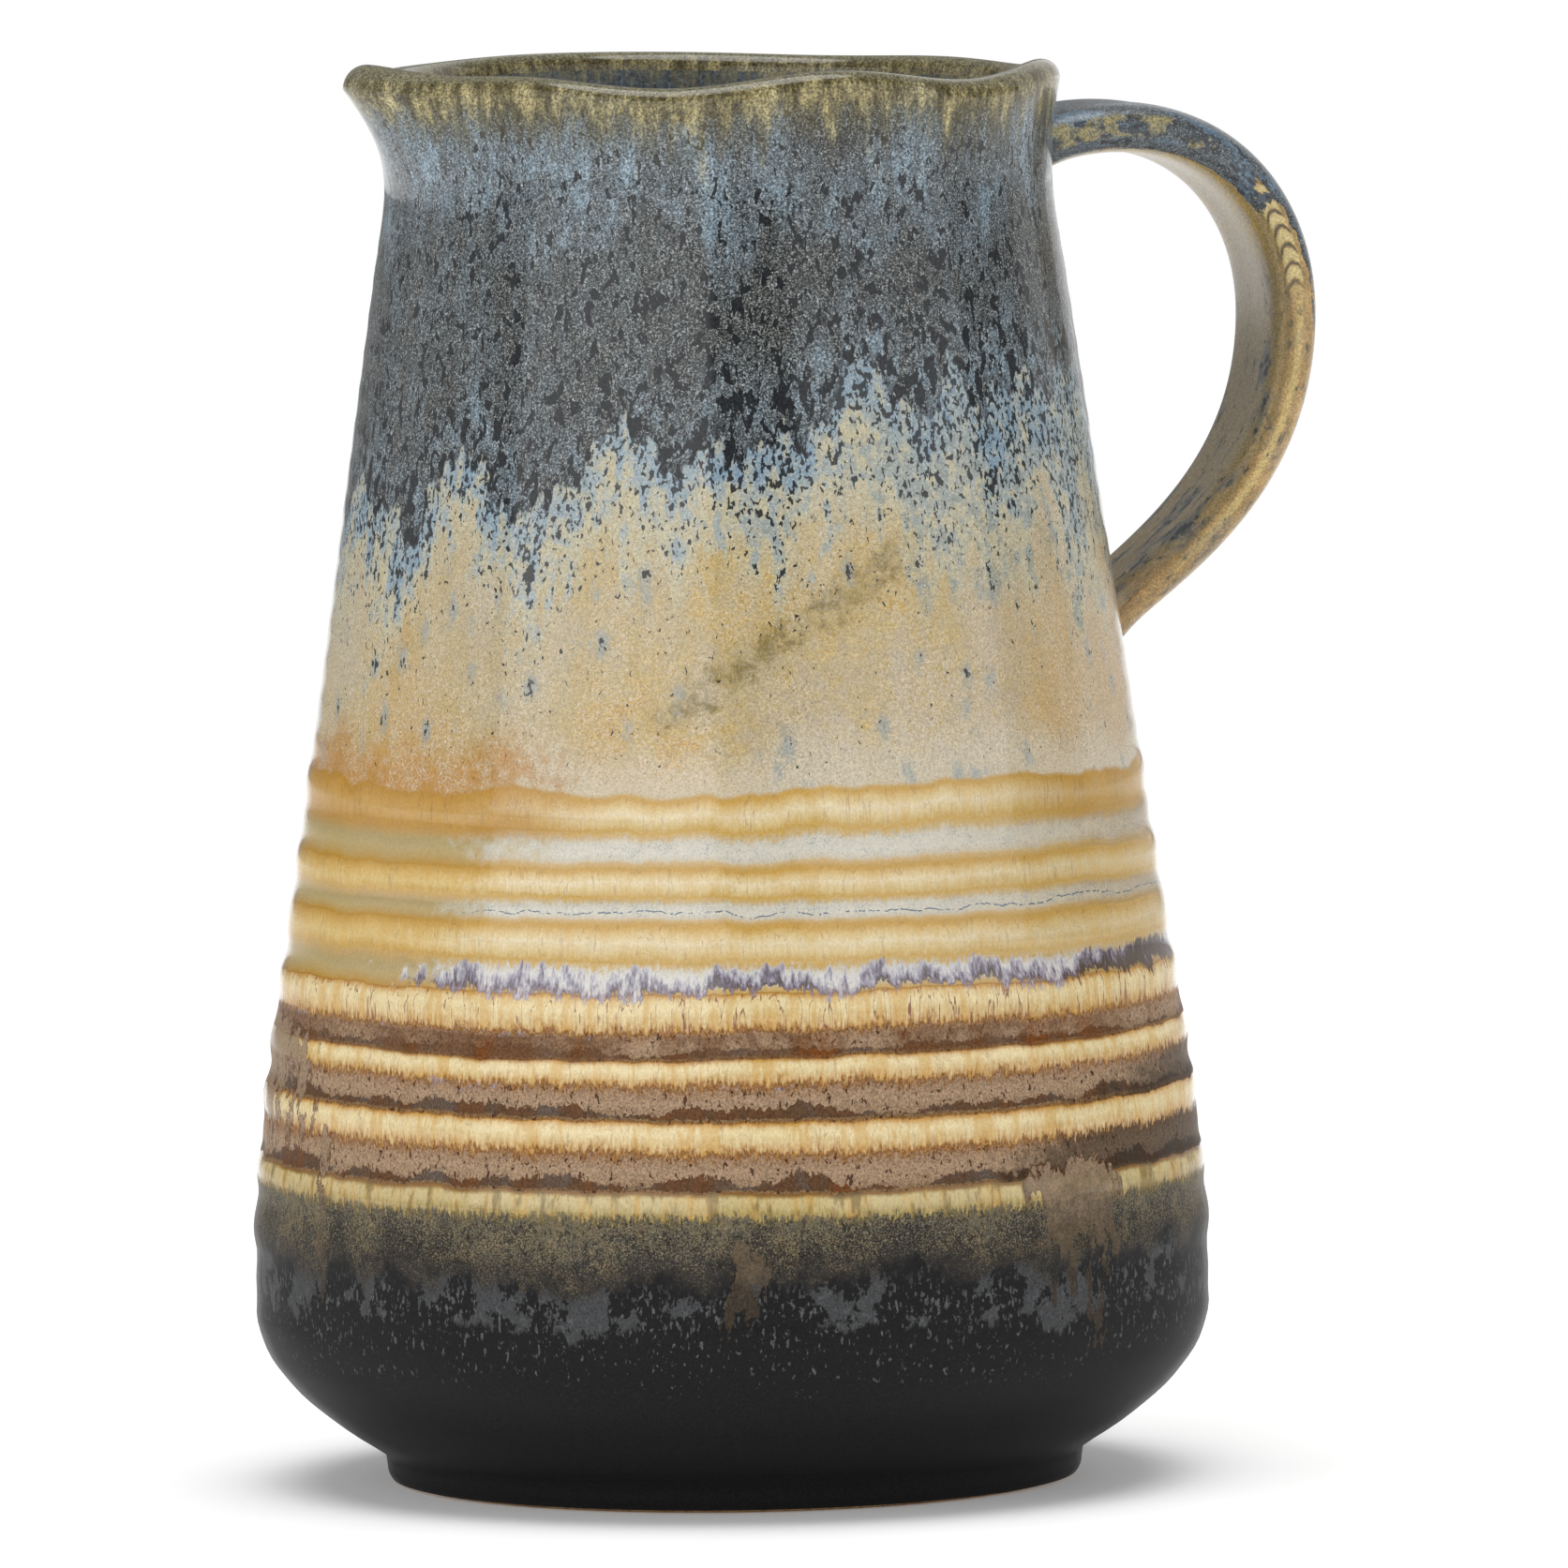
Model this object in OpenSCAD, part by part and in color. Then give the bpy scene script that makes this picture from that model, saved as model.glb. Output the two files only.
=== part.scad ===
// Stoneware jug: a thrown body with throwing rings, a neck with a wavy rim and a pulled spout,
// a pulled strap handle, a turned foot ring, and the glaze coats over the clay.
// The origin is the middle of the face that it stands on, the handle is on +X and the spout on -X.
// Radii and heights of the wall are those of the finished outside, with its glaze.
// Heights up the jug are shares of the height of its rim, so that a taller jug keeps its shape.

/* [Wall] */
// Height of the rim, halfway between the tops and dips of its waves
rim_z = 209.1; // [207:0.1:214]
// Radius at the rim
rim_r = 51; // [49.6:0.1:53]
// Height of the narrowest place of the neck
neck_z_share = 0.923; // [0.91:0.001:0.936]
// Radius at the narrowest place of the neck
neck_r = 49.3; // [47.5:0.1:50.5]
// Height at which the straight taper ends
throat_z_share = 0.861; // [0.82:0.001:0.89]
// Radius where the straight taper ends
throat_r = 50.9; // [50:0.1:53]
// Height at which the straight taper begins
shoulder_z_share = 0.287; // [0.23:0.001:0.33]
// How far the wall comes in from its widest place to where the straight taper begins
shoulder_in = 2.3; // [1:0.1:5]
// Height of the widest place of the belly
belly_z_share = 0.124; // [0.105:0.001:0.16]
// Radius at the widest place of the belly
belly_r = 70.6; // [69:0.1:75]
// Height of the joint between the thrown body and the neck
joint_z_share = 0.851; // [0.825:0.001:0.88]
// Thickness of the clay wall
wall_t = 4.6; // [3.6:0.1:6]
// Thickness of the clay at the rim
rim_t = 4; // [3:0.1:5]
// Thickness of the clay floor
floor_t = 6; // [4:0.5:9]
// Radius of the flat middle of the floor inside
floor_r = 47; // [40:0.5:52]

/* [Throwing rings] */
// Number of rings
ring_count = 8; // [2:1:8]
// Height of the lowest ring
ring_first_share = 0.1856; // [0.172:0.0002:0.2]
// Height from one ring to the next
ring_pitch_share = 0.0445; // [0.041:0.0005:0.05]
// Width of a ring, up and down the wall
ring_w = 7.4; // [5:0.2:8]
// How far a ring stands out from the wall
ring_h = 0.75; // [0.3:0.05:1.2]

/* [Rim and spout] */
// How far the waves of the rim rise and dip, at -Y
wave_h = 1.1; // [0:0.1:1.8]
// Number of waves round the rim, if they went all the way
wave_count = 6; // [4:1:8]
// How far the long swells of the rim rise and dip, at +Y
swell_h = 0.8; // [0:0.1:1.2]
// How much higher the rim is at -Y, and lower at +Y
lean_h = 0.4; // [0:0.1:1]
// Height at which the spout begins to lean out
spout_z_share = 0.913; // [0.87:0.001:0.936]
// How far the spout stands out beyond the rim
spout_reach = 7.3; // [3:0.1:11]
// Width of the spout along the rim
spout_w = 27; // [18:1:36]
// How far the tip of the spout rises above the rim
spout_lift = 1.8; // [0:0.1:4]

/* [Foot ring] */
// Height of the foot ring
foot_h = 4.4; // [3:0.1:7]
// Outside radius of the foot ring
foot_r = 51.5; // [46:0.1:56]
// Width of the foot ring
foot_w = 7.5; // [5:0.5:11]
// Rounding of the outer lower edge of the foot ring
foot_round = 2.4; // [1:0.1:2.8]
// Bevel of the inner lower edge of the foot ring
foot_bevel = 1.2; // [0.4:0.1:2.5]

/* [Handle] */
// Height of the upper end of the strap on the neck
root_z_share = 0.945; // [0.94:0.001:0.95]
// Height of the lower end of the strap on the wall
tail_z_share = 0.603; // [0.556:0.001:0.63]
// Distance from the wall to the middle of the strap where it stands out most
handle_reach = 36.3; // [26:0.1:48]
// Height at which the strap stands out most
elbow_z_share = 0.808; // [0.766:0.001:0.84]
// Slope of the strap where it leaves the neck, in degrees
root_tilt = 7; // [-4:1:12]
// Slope of the strap where it meets the wall, in degrees
tail_tilt = 41; // [30:1:56]
// Pull of the curve out of the neck
root_pull = 29; // [16:0.5:34]
// Pull of the curve above the elbow
rise_pull = 20.5; // [10:0.5:26]
// Pull of the curve below the elbow
drop_pull = 20; // [10:0.5:28]
// Pull of the curve into the wall
tail_pull = 23; // [12:0.5:30]
// Width of the strap
strap_w = 19; // [14:0.5:23]
// Width of the strap at the neck
root_w = 21; // [16:0.5:23]
// Thickness of the strap
strap_t = 7.2; // [5:0.2:8]
// Thickness of the strap where it meets the wall
tail_t = 6; // [4.4:0.2:8]
// Depth of the finger groove along each face of the strap
groove_h = 0.5; // [0:0.1:1]

/* [Coats and joints] */
// Thickness of a glaze coat
coat_t = 0.6; // [0.4:0.1:1]
// Thickness of a slip joint under an end of the strap
slip_t = 0.9; // [0.6:0.1:1.4]
// How far a slip joint shows round the end of the strap
slip_margin = 0.8; // [0.4:0.1:1.5]
// Gap left between the end of the strap and its slip joint
fit_gap = 0.05; // [0.03:0.01:0.1]
// Top edge of the black coat
base_top_share = 0.206; // [0.172:0.001:0.24]
// Top edge of the striped coat
band_top_share = 0.526; // [0.48:0.001:0.545]
// Top edge of the honey coat
honey_top_share = 0.717; // [0.67:0.001:0.79]

/* [Hidden] */
$fn = 128;

// Steps of the profiles, up the wall outside and inside
outside_step = 1.2;
inside_step = 2.4;
// Facets of the neck: round it, up the outside, over the lip and down the inside
neck_sides = 64;
neck_rows = 14;
lip_rows = 4;
lining_rows = 7;
// Facets of the strap, round it, along each of its two curves and through each of its ends
strap_sides = 16;
strap_rows = 12;
end_rows = 4;
arc_steps = 6;
// Halvings of the search for the seat of a strap's end
landing_halvings = 24;

// The thrown rings lie a little off an even pitch, in shares of it
ring_shift_shares = [0, -0.13, 0.08, 0, -0.05, -0.09, -0.17, 0.12];
// Angle from the handle to the lowest place of the long swells
swell_turn = 15;
// How much closer the facets lie at the spout than round the rest of the neck
bunch_share = 0.35;
// The spout leans out slowly at first
spout_lean = 1.4;
// Where the black coat ends on the rounding of the foot, in degrees below level
glaze_edge_tilt = 50;
// Roundness of the strap's section
strap_round = 0.72;

neck_z = neck_z_share * rim_z;
throat_z = throat_z_share * rim_z;
shoulder_z = shoulder_z_share * rim_z;
belly_z = belly_z_share * rim_z;
joint_z = joint_z_share * rim_z;
ring_first_z = ring_first_share * rim_z;
ring_pitch = ring_pitch_share * rim_z;
spout_z = spout_z_share * rim_z;
root_z = root_z_share * rim_z;
tail_z = tail_z_share * rim_z;
elbow_z = elbow_z_share * rim_z;
base_top_z = base_top_share * rim_z;
band_top_z = band_top_share * rim_z;
honey_top_z = honey_top_share * rim_z;

floor_z = foot_h + floor_t;
shoulder_r = belly_r - shoulder_in;
wall_slope = (throat_r - shoulder_r) / (throat_z - shoulder_z);
wall_steps = ceil((joint_z - foot_h) / outside_step);
lining_steps = ceil((joint_z - floor_z) / inside_step);
lip_r = rim_t / 2;
foot_clay_r = foot_r - coat_t;

// Wall profile

function blend(a, b, u) = a + (b - a) * u;

// A curve from (z0, r0) to (z1, r1) that leaves and arrives at the given slopes
function fair(z0, r0, slope0, z1, r1, slope1, z) =
  let (h = z1 - z0, u = (z - z0) / h)
  blend(r0, r1, u * u * (3 - 2 * u))
  + h * u * (1 - u) * (slope0 * (1 - u) - slope1 * u);

// Outside radius without rings: bowl-shaped belly, straight taper, drawn-in neck, flared rim
function wall_r(z) =
  z < belly_z ? belly_r - (belly_r - foot_r) * pow((belly_z - z) / (belly_z - foot_h), 2)
  : z < shoulder_z ? fair(belly_z, belly_r, 0, shoulder_z, shoulder_r, wall_slope, z)
  : z < throat_z ? shoulder_r + wall_slope * (z - shoulder_z)
  : z < neck_z ? fair(throat_z, throat_r, wall_slope, neck_z, neck_r, 0, z)
  : neck_r + (rim_r - neck_r) * pow((z - neck_z) / (rim_z - neck_z), 2);

function ring_z(i) = ring_first_z + ring_pitch * (i + ring_shift_shares[i]);

// A ring is one smooth swell, ring_w from foot to foot
function swell(d) = abs(d) < ring_w / 2 ? (1 + cos(360 * d / ring_w)) / 2 : 0;

// How far the rings stand out of the wall at a height
function ring_relief(z) =
  ring_h * max([for (i = [0:ring_count - 1]) swell(z - ring_z(i))]);

function clay_r(z) = wall_r(z) + ring_relief(z) - coat_t;

// Inside radius of the clay: level floor, bowl, then the wall's own thickness
function lining_r(z) =
  let (belly_lining_r = belly_r - coat_t - wall_t)
  z < belly_z
    ? belly_lining_r - (belly_lining_r - floor_r) * pow((belly_z - z) / (belly_z - floor_z), 2)
    : wall_r(z) - coat_t - wall_t;

function wall_z(k) = blend(foot_h, joint_z, k / wall_steps);
function lining_z(k) = blend(floor_z, joint_z, k / lining_steps);
// The step of the wall profile that is nearest a height
function wall_step(z) = round((z - foot_h) / (joint_z - foot_h) * wall_steps);

// Points up the wall between two steps, this far out from the clay
function wall_points(from, to, out) = [for (k = [from:to]) [clay_r(wall_z(k)) + out, wall_z(k)]];

// Points up the inside, this far in from the clay and lifted as much off the floor
function lining_points(out) = [
  for (k = [0:lining_steps])
    let (z = lining_z(k), lift = max(0, (belly_z - z) / (belly_z - floor_z)))
    [lining_r(z) - out, z + out * lift]
];

// Points round the outer lower edge of the foot ring, from a tilt below level up to level
function foot_edge(tilt, out) = [
  for (k = [0:arc_steps])
    let (a = -tilt * (1 - k / arc_steps))
    [foot_clay_r - foot_round + (foot_round + out) * cos(a), foot_round + (foot_round + out) * sin(a)]
];

function reversed(list) = [for (k = [len(list) - 1:-1:0]) list[k]];

// Neck, rim and spout

// Angles round the neck from the handle, closer together at the spout
function neck_angle(i) = let (a = 360 * i / neck_sides) a + bunch_share * sin(a) * 180 / PI;

// 1 in the middle of the spout, falling off along the rim
function spout_shape(angle) =
  let (off = abs(angle - 180 - 360 * floor(angle / 360)))
  exp(-pow(2 * off * PI / 180 * rim_r / spout_w, 2));

// Height of the rim: short waves at -Y that fade into two long swells at +Y
function rim_top(angle) =
  let (near = (1 - sin(angle)) / 2, away = 1 - near)
  rim_z + spout_lift * spout_shape(angle)
  - near * wave_h * cos(wave_count * (angle - 180))
  - away * swell_h * cos(2 * (angle - swell_turn))
  - lean_h * sin(angle);

// Height of the middle of the rounded lip
function lip_z(angle) = rim_top(angle) - lip_r - coat_t;

function neck_clay_r(angle, z) =
  let (u = (z - spout_z) / (lip_z(angle) - spout_z))
  wall_r(z) - coat_t + spout_reach * spout_shape(angle) * pow(max(0, u), spout_lean);

// One section of the neck, this far out from the clay: up the outside, over the lip, down the inside
function neck_section(angle, out) =
  let (
    top = lip_z(angle),
    lip_mid = neck_clay_r(angle, top) - lip_r,
    outside = [
      for (k = [0:neck_rows])
        let (z = blend(joint_z, top, k / neck_rows))
        [neck_clay_r(angle, z) + out, z]
    ],
    lip = [
      for (k = [1:lip_rows - 1])
        let (a = 180 * k / lip_rows)
        [lip_mid + (lip_r + out) * cos(a), top + (lip_r + out) * sin(a)]
    ],
    inside = [
      for (k = [0:lining_rows])
        let (u = k / lining_rows, z = blend(top, joint_z, u))
        [neck_clay_r(angle, z) - blend(rim_t, wall_t, u) - out, z]
    ]
  )
  concat(outside, lip, inside);

function neck_grid(out) = [
  for (i = [0:neck_sides - 1])
    let (angle = neck_angle(i))
    [for (p = neck_section(angle, out)) [p[0] * cos(angle), p[0] * sin(angle), p[1]]]
];

// The window left in the rim coat for the upper slip joint, counted in facets of the neck
function slip_half_w(width) = width / 2 + coat_t + slip_margin;
root_half_h = strap_t / 2 + coat_t + slip_margin;
root_sides = [
  for (k = [1:neck_sides / 4]) if (neck_r * sin(neck_angle(k)) >= slip_half_w(root_w)) k
][0];
function neck_row(z) = (z - joint_z) / (lip_z(0) - joint_z) * neck_rows;
root_low_row = floor(neck_row(root_z - root_half_h));
root_high_row = ceil(neck_row(root_z + root_half_h));
in_root_window = function (i, j)
  (i < root_sides || i >= neck_sides - root_sides) && j >= root_low_row && j < root_high_row;

// Strap handle

// Where the strap's middle line meets the outside of each slip joint
function seat_r(z) = clay_r(z) + slip_t + fit_gap;
root_point = [seat_r(root_z), root_z];
tail_point = [seat_r(tail_z), tail_z];
elbow_point = [wall_r(elbow_z) + handle_reach, elbow_z];
root_way = [cos(root_tilt), sin(root_tilt)];
tail_way = [cos(tail_tilt), sin(tail_tilt)];
// The ways in which the two ends come to their seats
root_landing = -[root_way[0], 0, root_way[1]];
tail_landing = -[tail_way[0], 0, tail_way[1]];
// A cutter that has to pass right out of the jug reaches this far
far_reach = elbow_point[0] + strap_t;

upper_curve = [
  root_point, root_point + root_pull * root_way, elbow_point + [0, rise_pull], elbow_point
];
lower_curve = [
  elbow_point, elbow_point - [0, drop_pull], tail_point + tail_pull * tail_way, tail_point
];

function curve_point(c, u) =
  pow(1 - u, 3) * c[0] + 3 * u * pow(1 - u, 2) * c[1] + 3 * u * u * (1 - u) * c[2] + pow(u, 3) * c[3];
function curve_way(c, u) =
  let (d = pow(1 - u, 2) * (c[1] - c[0]) + 2 * u * (1 - u) * (c[2] - c[1]) + u * u * (c[3] - c[2]))
  d / norm(d);

// Outline of the strap, this far out from the clay: a flat oval with a groove along each face
function strap_point(angle, width, thickness, out) =
  let (
    across = sign(cos(angle)) * pow(abs(cos(angle)), strap_round),
    through = sign(sin(angle)) * pow(abs(sin(angle)), strap_round),
    groove = groove_h * pow(cos(90 * across), 2)
  )
  [(width / 2 + out) * across, (thickness / 2 + out - groove) * through];

// Moves a point along a way until it lies on the seat of a slip joint, by halving
function landing(p, way, low, high, left) =
  let (mid = (low + high) / 2, q = p + way * mid)
  left == 0 ? q
  : norm([q[0], q[1]]) > seat_r(q[2]) ? landing(p, way, mid, high, left - 1)
  : landing(p, way, low, mid, left - 1);

// One ring of points round the strap, square to its middle line
function strap_ring(c, u, width, thickness, out) =
  let (mid = curve_point(c, u), way = curve_way(c, u))
  [
    for (i = [0:strap_sides - 1])
      let (p = strap_point(360 * i / strap_sides, width, thickness, out))
      [mid[0] - way[1] * p[1], p[0], mid[1] + way[0] * p[1]]
  ];

function landed(points, way) = [
  for (p = points) landing(p, way, -strap_t, root_pull, landing_halvings)
];

// Rings from the neck to the wall, with the first and last ones on their seats
function strap_rings(out) = concat(
  [landed(strap_ring(upper_curve, 0, root_w, strap_t, out), root_landing)],
  [
    for (k = [1:strap_rows])
      let (u = k / strap_rows)
      strap_ring(upper_curve, u, blend(root_w, strap_w, u), strap_t, out)
  ],
  [
    for (k = [1:strap_rows - 1])
      let (u = k / strap_rows)
      strap_ring(lower_curve, u, strap_w, blend(strap_t, tail_t, u), out)
  ],
  [landed(strap_ring(lower_curve, 1, strap_w, tail_t, out), tail_landing)]
);

// The strap's points as a grid, round it and then along it
function strap_grid(out) =
  let (rings = strap_rings(out))
  [for (i = [0:strap_sides - 1]) [for (ring = rings) ring[i]]];

// Points on the seat between the two faces of the strap, on lines through one of its ends
function end_lines(ring, way) = [
  for (k = [1:strap_sides / 2 - 1])
    landed([for (m = [1:end_rows - 1]) blend(ring[k], ring[strap_sides - k], m / end_rows)], way)
];

// Solids from grids of points, closed round their first index

function quad(a, b, c, d) = [[a, b, c], [a, c, d]];

// A ring that is closed along its second index as well
module ring_solid(grid) {
  sides = len(grid);
  rows = len(grid[0]);
  at = function (i, j) (i % sides) * rows + j % rows;
  faces = [
    for (i = [0:sides - 1], j = [0:rows - 1])
      each quad(at(i, j), at(i, j + 1), at(i + 1, j + 1), at(i + 1, j))
  ];
  polyhedron([for (line = grid) each line], faces);
}

// A bar whose two ends are closed by lines of points that run through it
module bar_solid(grid, ends) {
  sides = len(grid);
  rows = len(grid[0]);
  half = sides / 2;
  inner = len(ends[0][0]);
  at = function (i, j) (i % sides) * rows + j;
  // Point m on line k of an end: the first and last of a line are the bar's own
  end_at = function (e, k, m)
    m == 0 || k == 0 || k == half ? at(k, e * (rows - 1))
    : m > inner ? at(sides - k, e * (rows - 1))
    : sides * rows + (e * (half - 1) + k - 1) * inner + m - 1;
  end = function (e) [
    for (k = [0:half - 1], m = [0:inner])
      for (f = quad(end_at(e, k, m), end_at(e, k + 1, m), end_at(e, k + 1, m + 1), end_at(e, k, m + 1)))
        if (f[0] != f[1] && f[1] != f[2] && f[2] != f[0]) f
  ];
  side = [
    for (i = [0:sides - 1], j = [0:rows - 2])
      each quad(at(i, j), at(i, j + 1), at(i + 1, j + 1), at(i + 1, j))
  ];
  polyhedron(
    concat([for (line = grid) each line], [for (lines = ends, line = lines) each line]),
    concat(side, end(0), [for (f = end(1)) reversed(f)])
  );
}

// A coat between two grids, on the cells that are wanted
module coat_solid(under, over, wanted) {
  sides = len(under);
  rows = len(under[0]);
  low = function (i, j) (i % sides) * rows + j;
  high = function (i, j) sides * rows + low(i, j);
  on = function (i, j) j >= 0 && j < rows - 1 && wanted((i + sides) % sides, j);
  faces = [
    for (i = [0:sides - 1], j = [0:rows - 2])
      if (on(i, j))
        each concat(
          quad(high(i, j), high(i, j + 1), high(i + 1, j + 1), high(i + 1, j)),
          [for (f = quad(low(i, j), low(i, j + 1), low(i + 1, j + 1), low(i + 1, j))) reversed(f)],
          on(i, j - 1) ? [] : quad(high(i, j), high(i + 1, j), low(i + 1, j), low(i, j)),
          on(i, j + 1) ? [] : quad(high(i + 1, j + 1), high(i, j + 1), low(i, j + 1), low(i + 1, j + 1)),
          on(i + 1, j) ? [] : quad(high(i + 1, j), high(i + 1, j + 1), low(i + 1, j + 1), low(i + 1, j)),
          on(i - 1, j) ? [] : quad(high(i, j + 1), high(i, j), low(i, j), low(i, j + 1))
        )
  ];
  polyhedron(concat([for (line = under) each line], [for (line = over) each line]), faces);
}

// A coat of the turned wall between two heights
module wall_coat(from_z, to_z, thickness) {
  from = wall_step(from_z);
  to = wall_step(to_z);
  rotate_extrude()
    polygon(concat(wall_points(from, to, 0), reversed(wall_points(from, to, thickness))));
}

// The place of the lower slip joint, cut out through the wall's coat
tail_half_h = (tail_t / 2 + coat_t) / cos(tail_tilt) + slip_margin;
module tail_window() {
  half_w = slip_half_w(strap_w);
  translate([0, -half_w, tail_z - tail_half_h])
    cube([far_reach, 2 * half_w, 2 * tail_half_h]);
}

// Clay pieces

module body() {
  color("#b79a78")
    rotate_extrude()
      polygon(concat(
        [[0, foot_h]],
        wall_points(0, wall_steps, 0),
        reversed(lining_points(0)),
        [[0, floor_z]]
      ));
}

module neck() {
  color("#b79a78")
    ring_solid(neck_grid(0));
}

module foot_ring() {
  inner_r = foot_r - foot_w;
  color("#a98b6a")
    rotate_extrude()
      polygon(concat(
        [[inner_r + foot_bevel, 0]],
        foot_edge(90, 0),
        [[foot_clay_r, foot_h], [inner_r, foot_h], [inner_r, foot_bevel]]
      ));
}

module handle() {
  rings = strap_rings(0);
  color("#b79a78")
    bar_solid(
      strap_grid(0),
      [end_lines(rings[0], root_landing), end_lines(rings[len(rings) - 1], tail_landing)]
    );
}

// Slip joints

module upper_handle_slip() {
  color("#8a6a4c")
    coat_solid(neck_grid(0), neck_grid(slip_t), in_root_window);
}

module lower_handle_slip() {
  color("#8a6a4c")
    intersection() {
      wall_coat(tail_z - 2 * tail_half_h, tail_z + 2 * tail_half_h, slip_t);
      tail_window();
    }
}

// Glaze coats

module base_glaze() {
  top = wall_step(base_top_z);
  color("#26282a")
    rotate_extrude()
      polygon(concat(
        foot_edge(glaze_edge_tilt, 0),
        wall_points(0, top, 0),
        reversed(wall_points(0, top, coat_t)),
        reversed(foot_edge(glaze_edge_tilt, coat_t))
      ));
}

module band_glaze() {
  color("#8d6f52")
    wall_coat(base_top_z, band_top_z, coat_t);
}

module honey_glaze() {
  color("#c5a878")
    difference() {
      wall_coat(band_top_z, honey_top_z, coat_t);
      tail_window();
    }
}

module blue_glaze() {
  color("#6d7983")
    wall_coat(honey_top_z, joint_z, coat_t);
}

module rim_glaze() {
  color("#66727c")
    coat_solid(neck_grid(0), neck_grid(coat_t), function (i, j) !in_root_window(i, j));
}

module liner_glaze() {
  color("#7d8690")
    rotate_extrude()
      polygon(concat(
        [[0, floor_z]],
        lining_points(0),
        reversed(lining_points(coat_t)),
        [[0, floor_z + coat_t]]
      ));
}

module handle_glaze() {
  color("#c09a5c")
    coat_solid(strap_grid(0), strap_grid(coat_t), function (i, j) true);
}

body();
neck();
foot_ring();
handle();
upper_handle_slip();
lower_handle_slip();
base_glaze();
band_glaze();
honey_glaze();
blue_glaze();
rim_glaze();
liner_glaze();
handle_glaze();
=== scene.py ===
import bpy
import numpy as np
from mathutils import Matrix, Vector


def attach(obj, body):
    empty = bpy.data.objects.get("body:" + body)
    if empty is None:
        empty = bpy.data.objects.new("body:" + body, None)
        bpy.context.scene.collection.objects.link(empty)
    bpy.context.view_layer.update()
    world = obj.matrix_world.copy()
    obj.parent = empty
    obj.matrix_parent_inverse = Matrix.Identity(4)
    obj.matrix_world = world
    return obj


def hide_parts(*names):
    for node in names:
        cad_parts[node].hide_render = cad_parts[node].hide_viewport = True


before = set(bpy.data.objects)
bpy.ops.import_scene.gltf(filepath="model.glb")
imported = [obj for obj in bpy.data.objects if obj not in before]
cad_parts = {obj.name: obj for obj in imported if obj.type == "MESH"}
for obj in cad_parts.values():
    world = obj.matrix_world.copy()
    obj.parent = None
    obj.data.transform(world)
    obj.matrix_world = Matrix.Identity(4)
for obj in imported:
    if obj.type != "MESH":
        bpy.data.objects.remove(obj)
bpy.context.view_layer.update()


# Foot ring and underside: the plain ring that the jug stands on, turned on the wheel from the same
# stoneware as the body. It is left bare of glaze, so that the jug doesn't stick to the kiln shelf.
MM = 0.001
COAT = 0.6
FOOT_H, FOOT_R, FOOT_W = 4.4, 51.5, 7.5
FOOT_ROUND, FOOT_BEVEL = 2.4, 1.2
FOOT_COLUMNS = 192
# Share of the unrolled map that is left free below and above each piece, for its closed ends
MAP_MARGIN = 0.02


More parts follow.
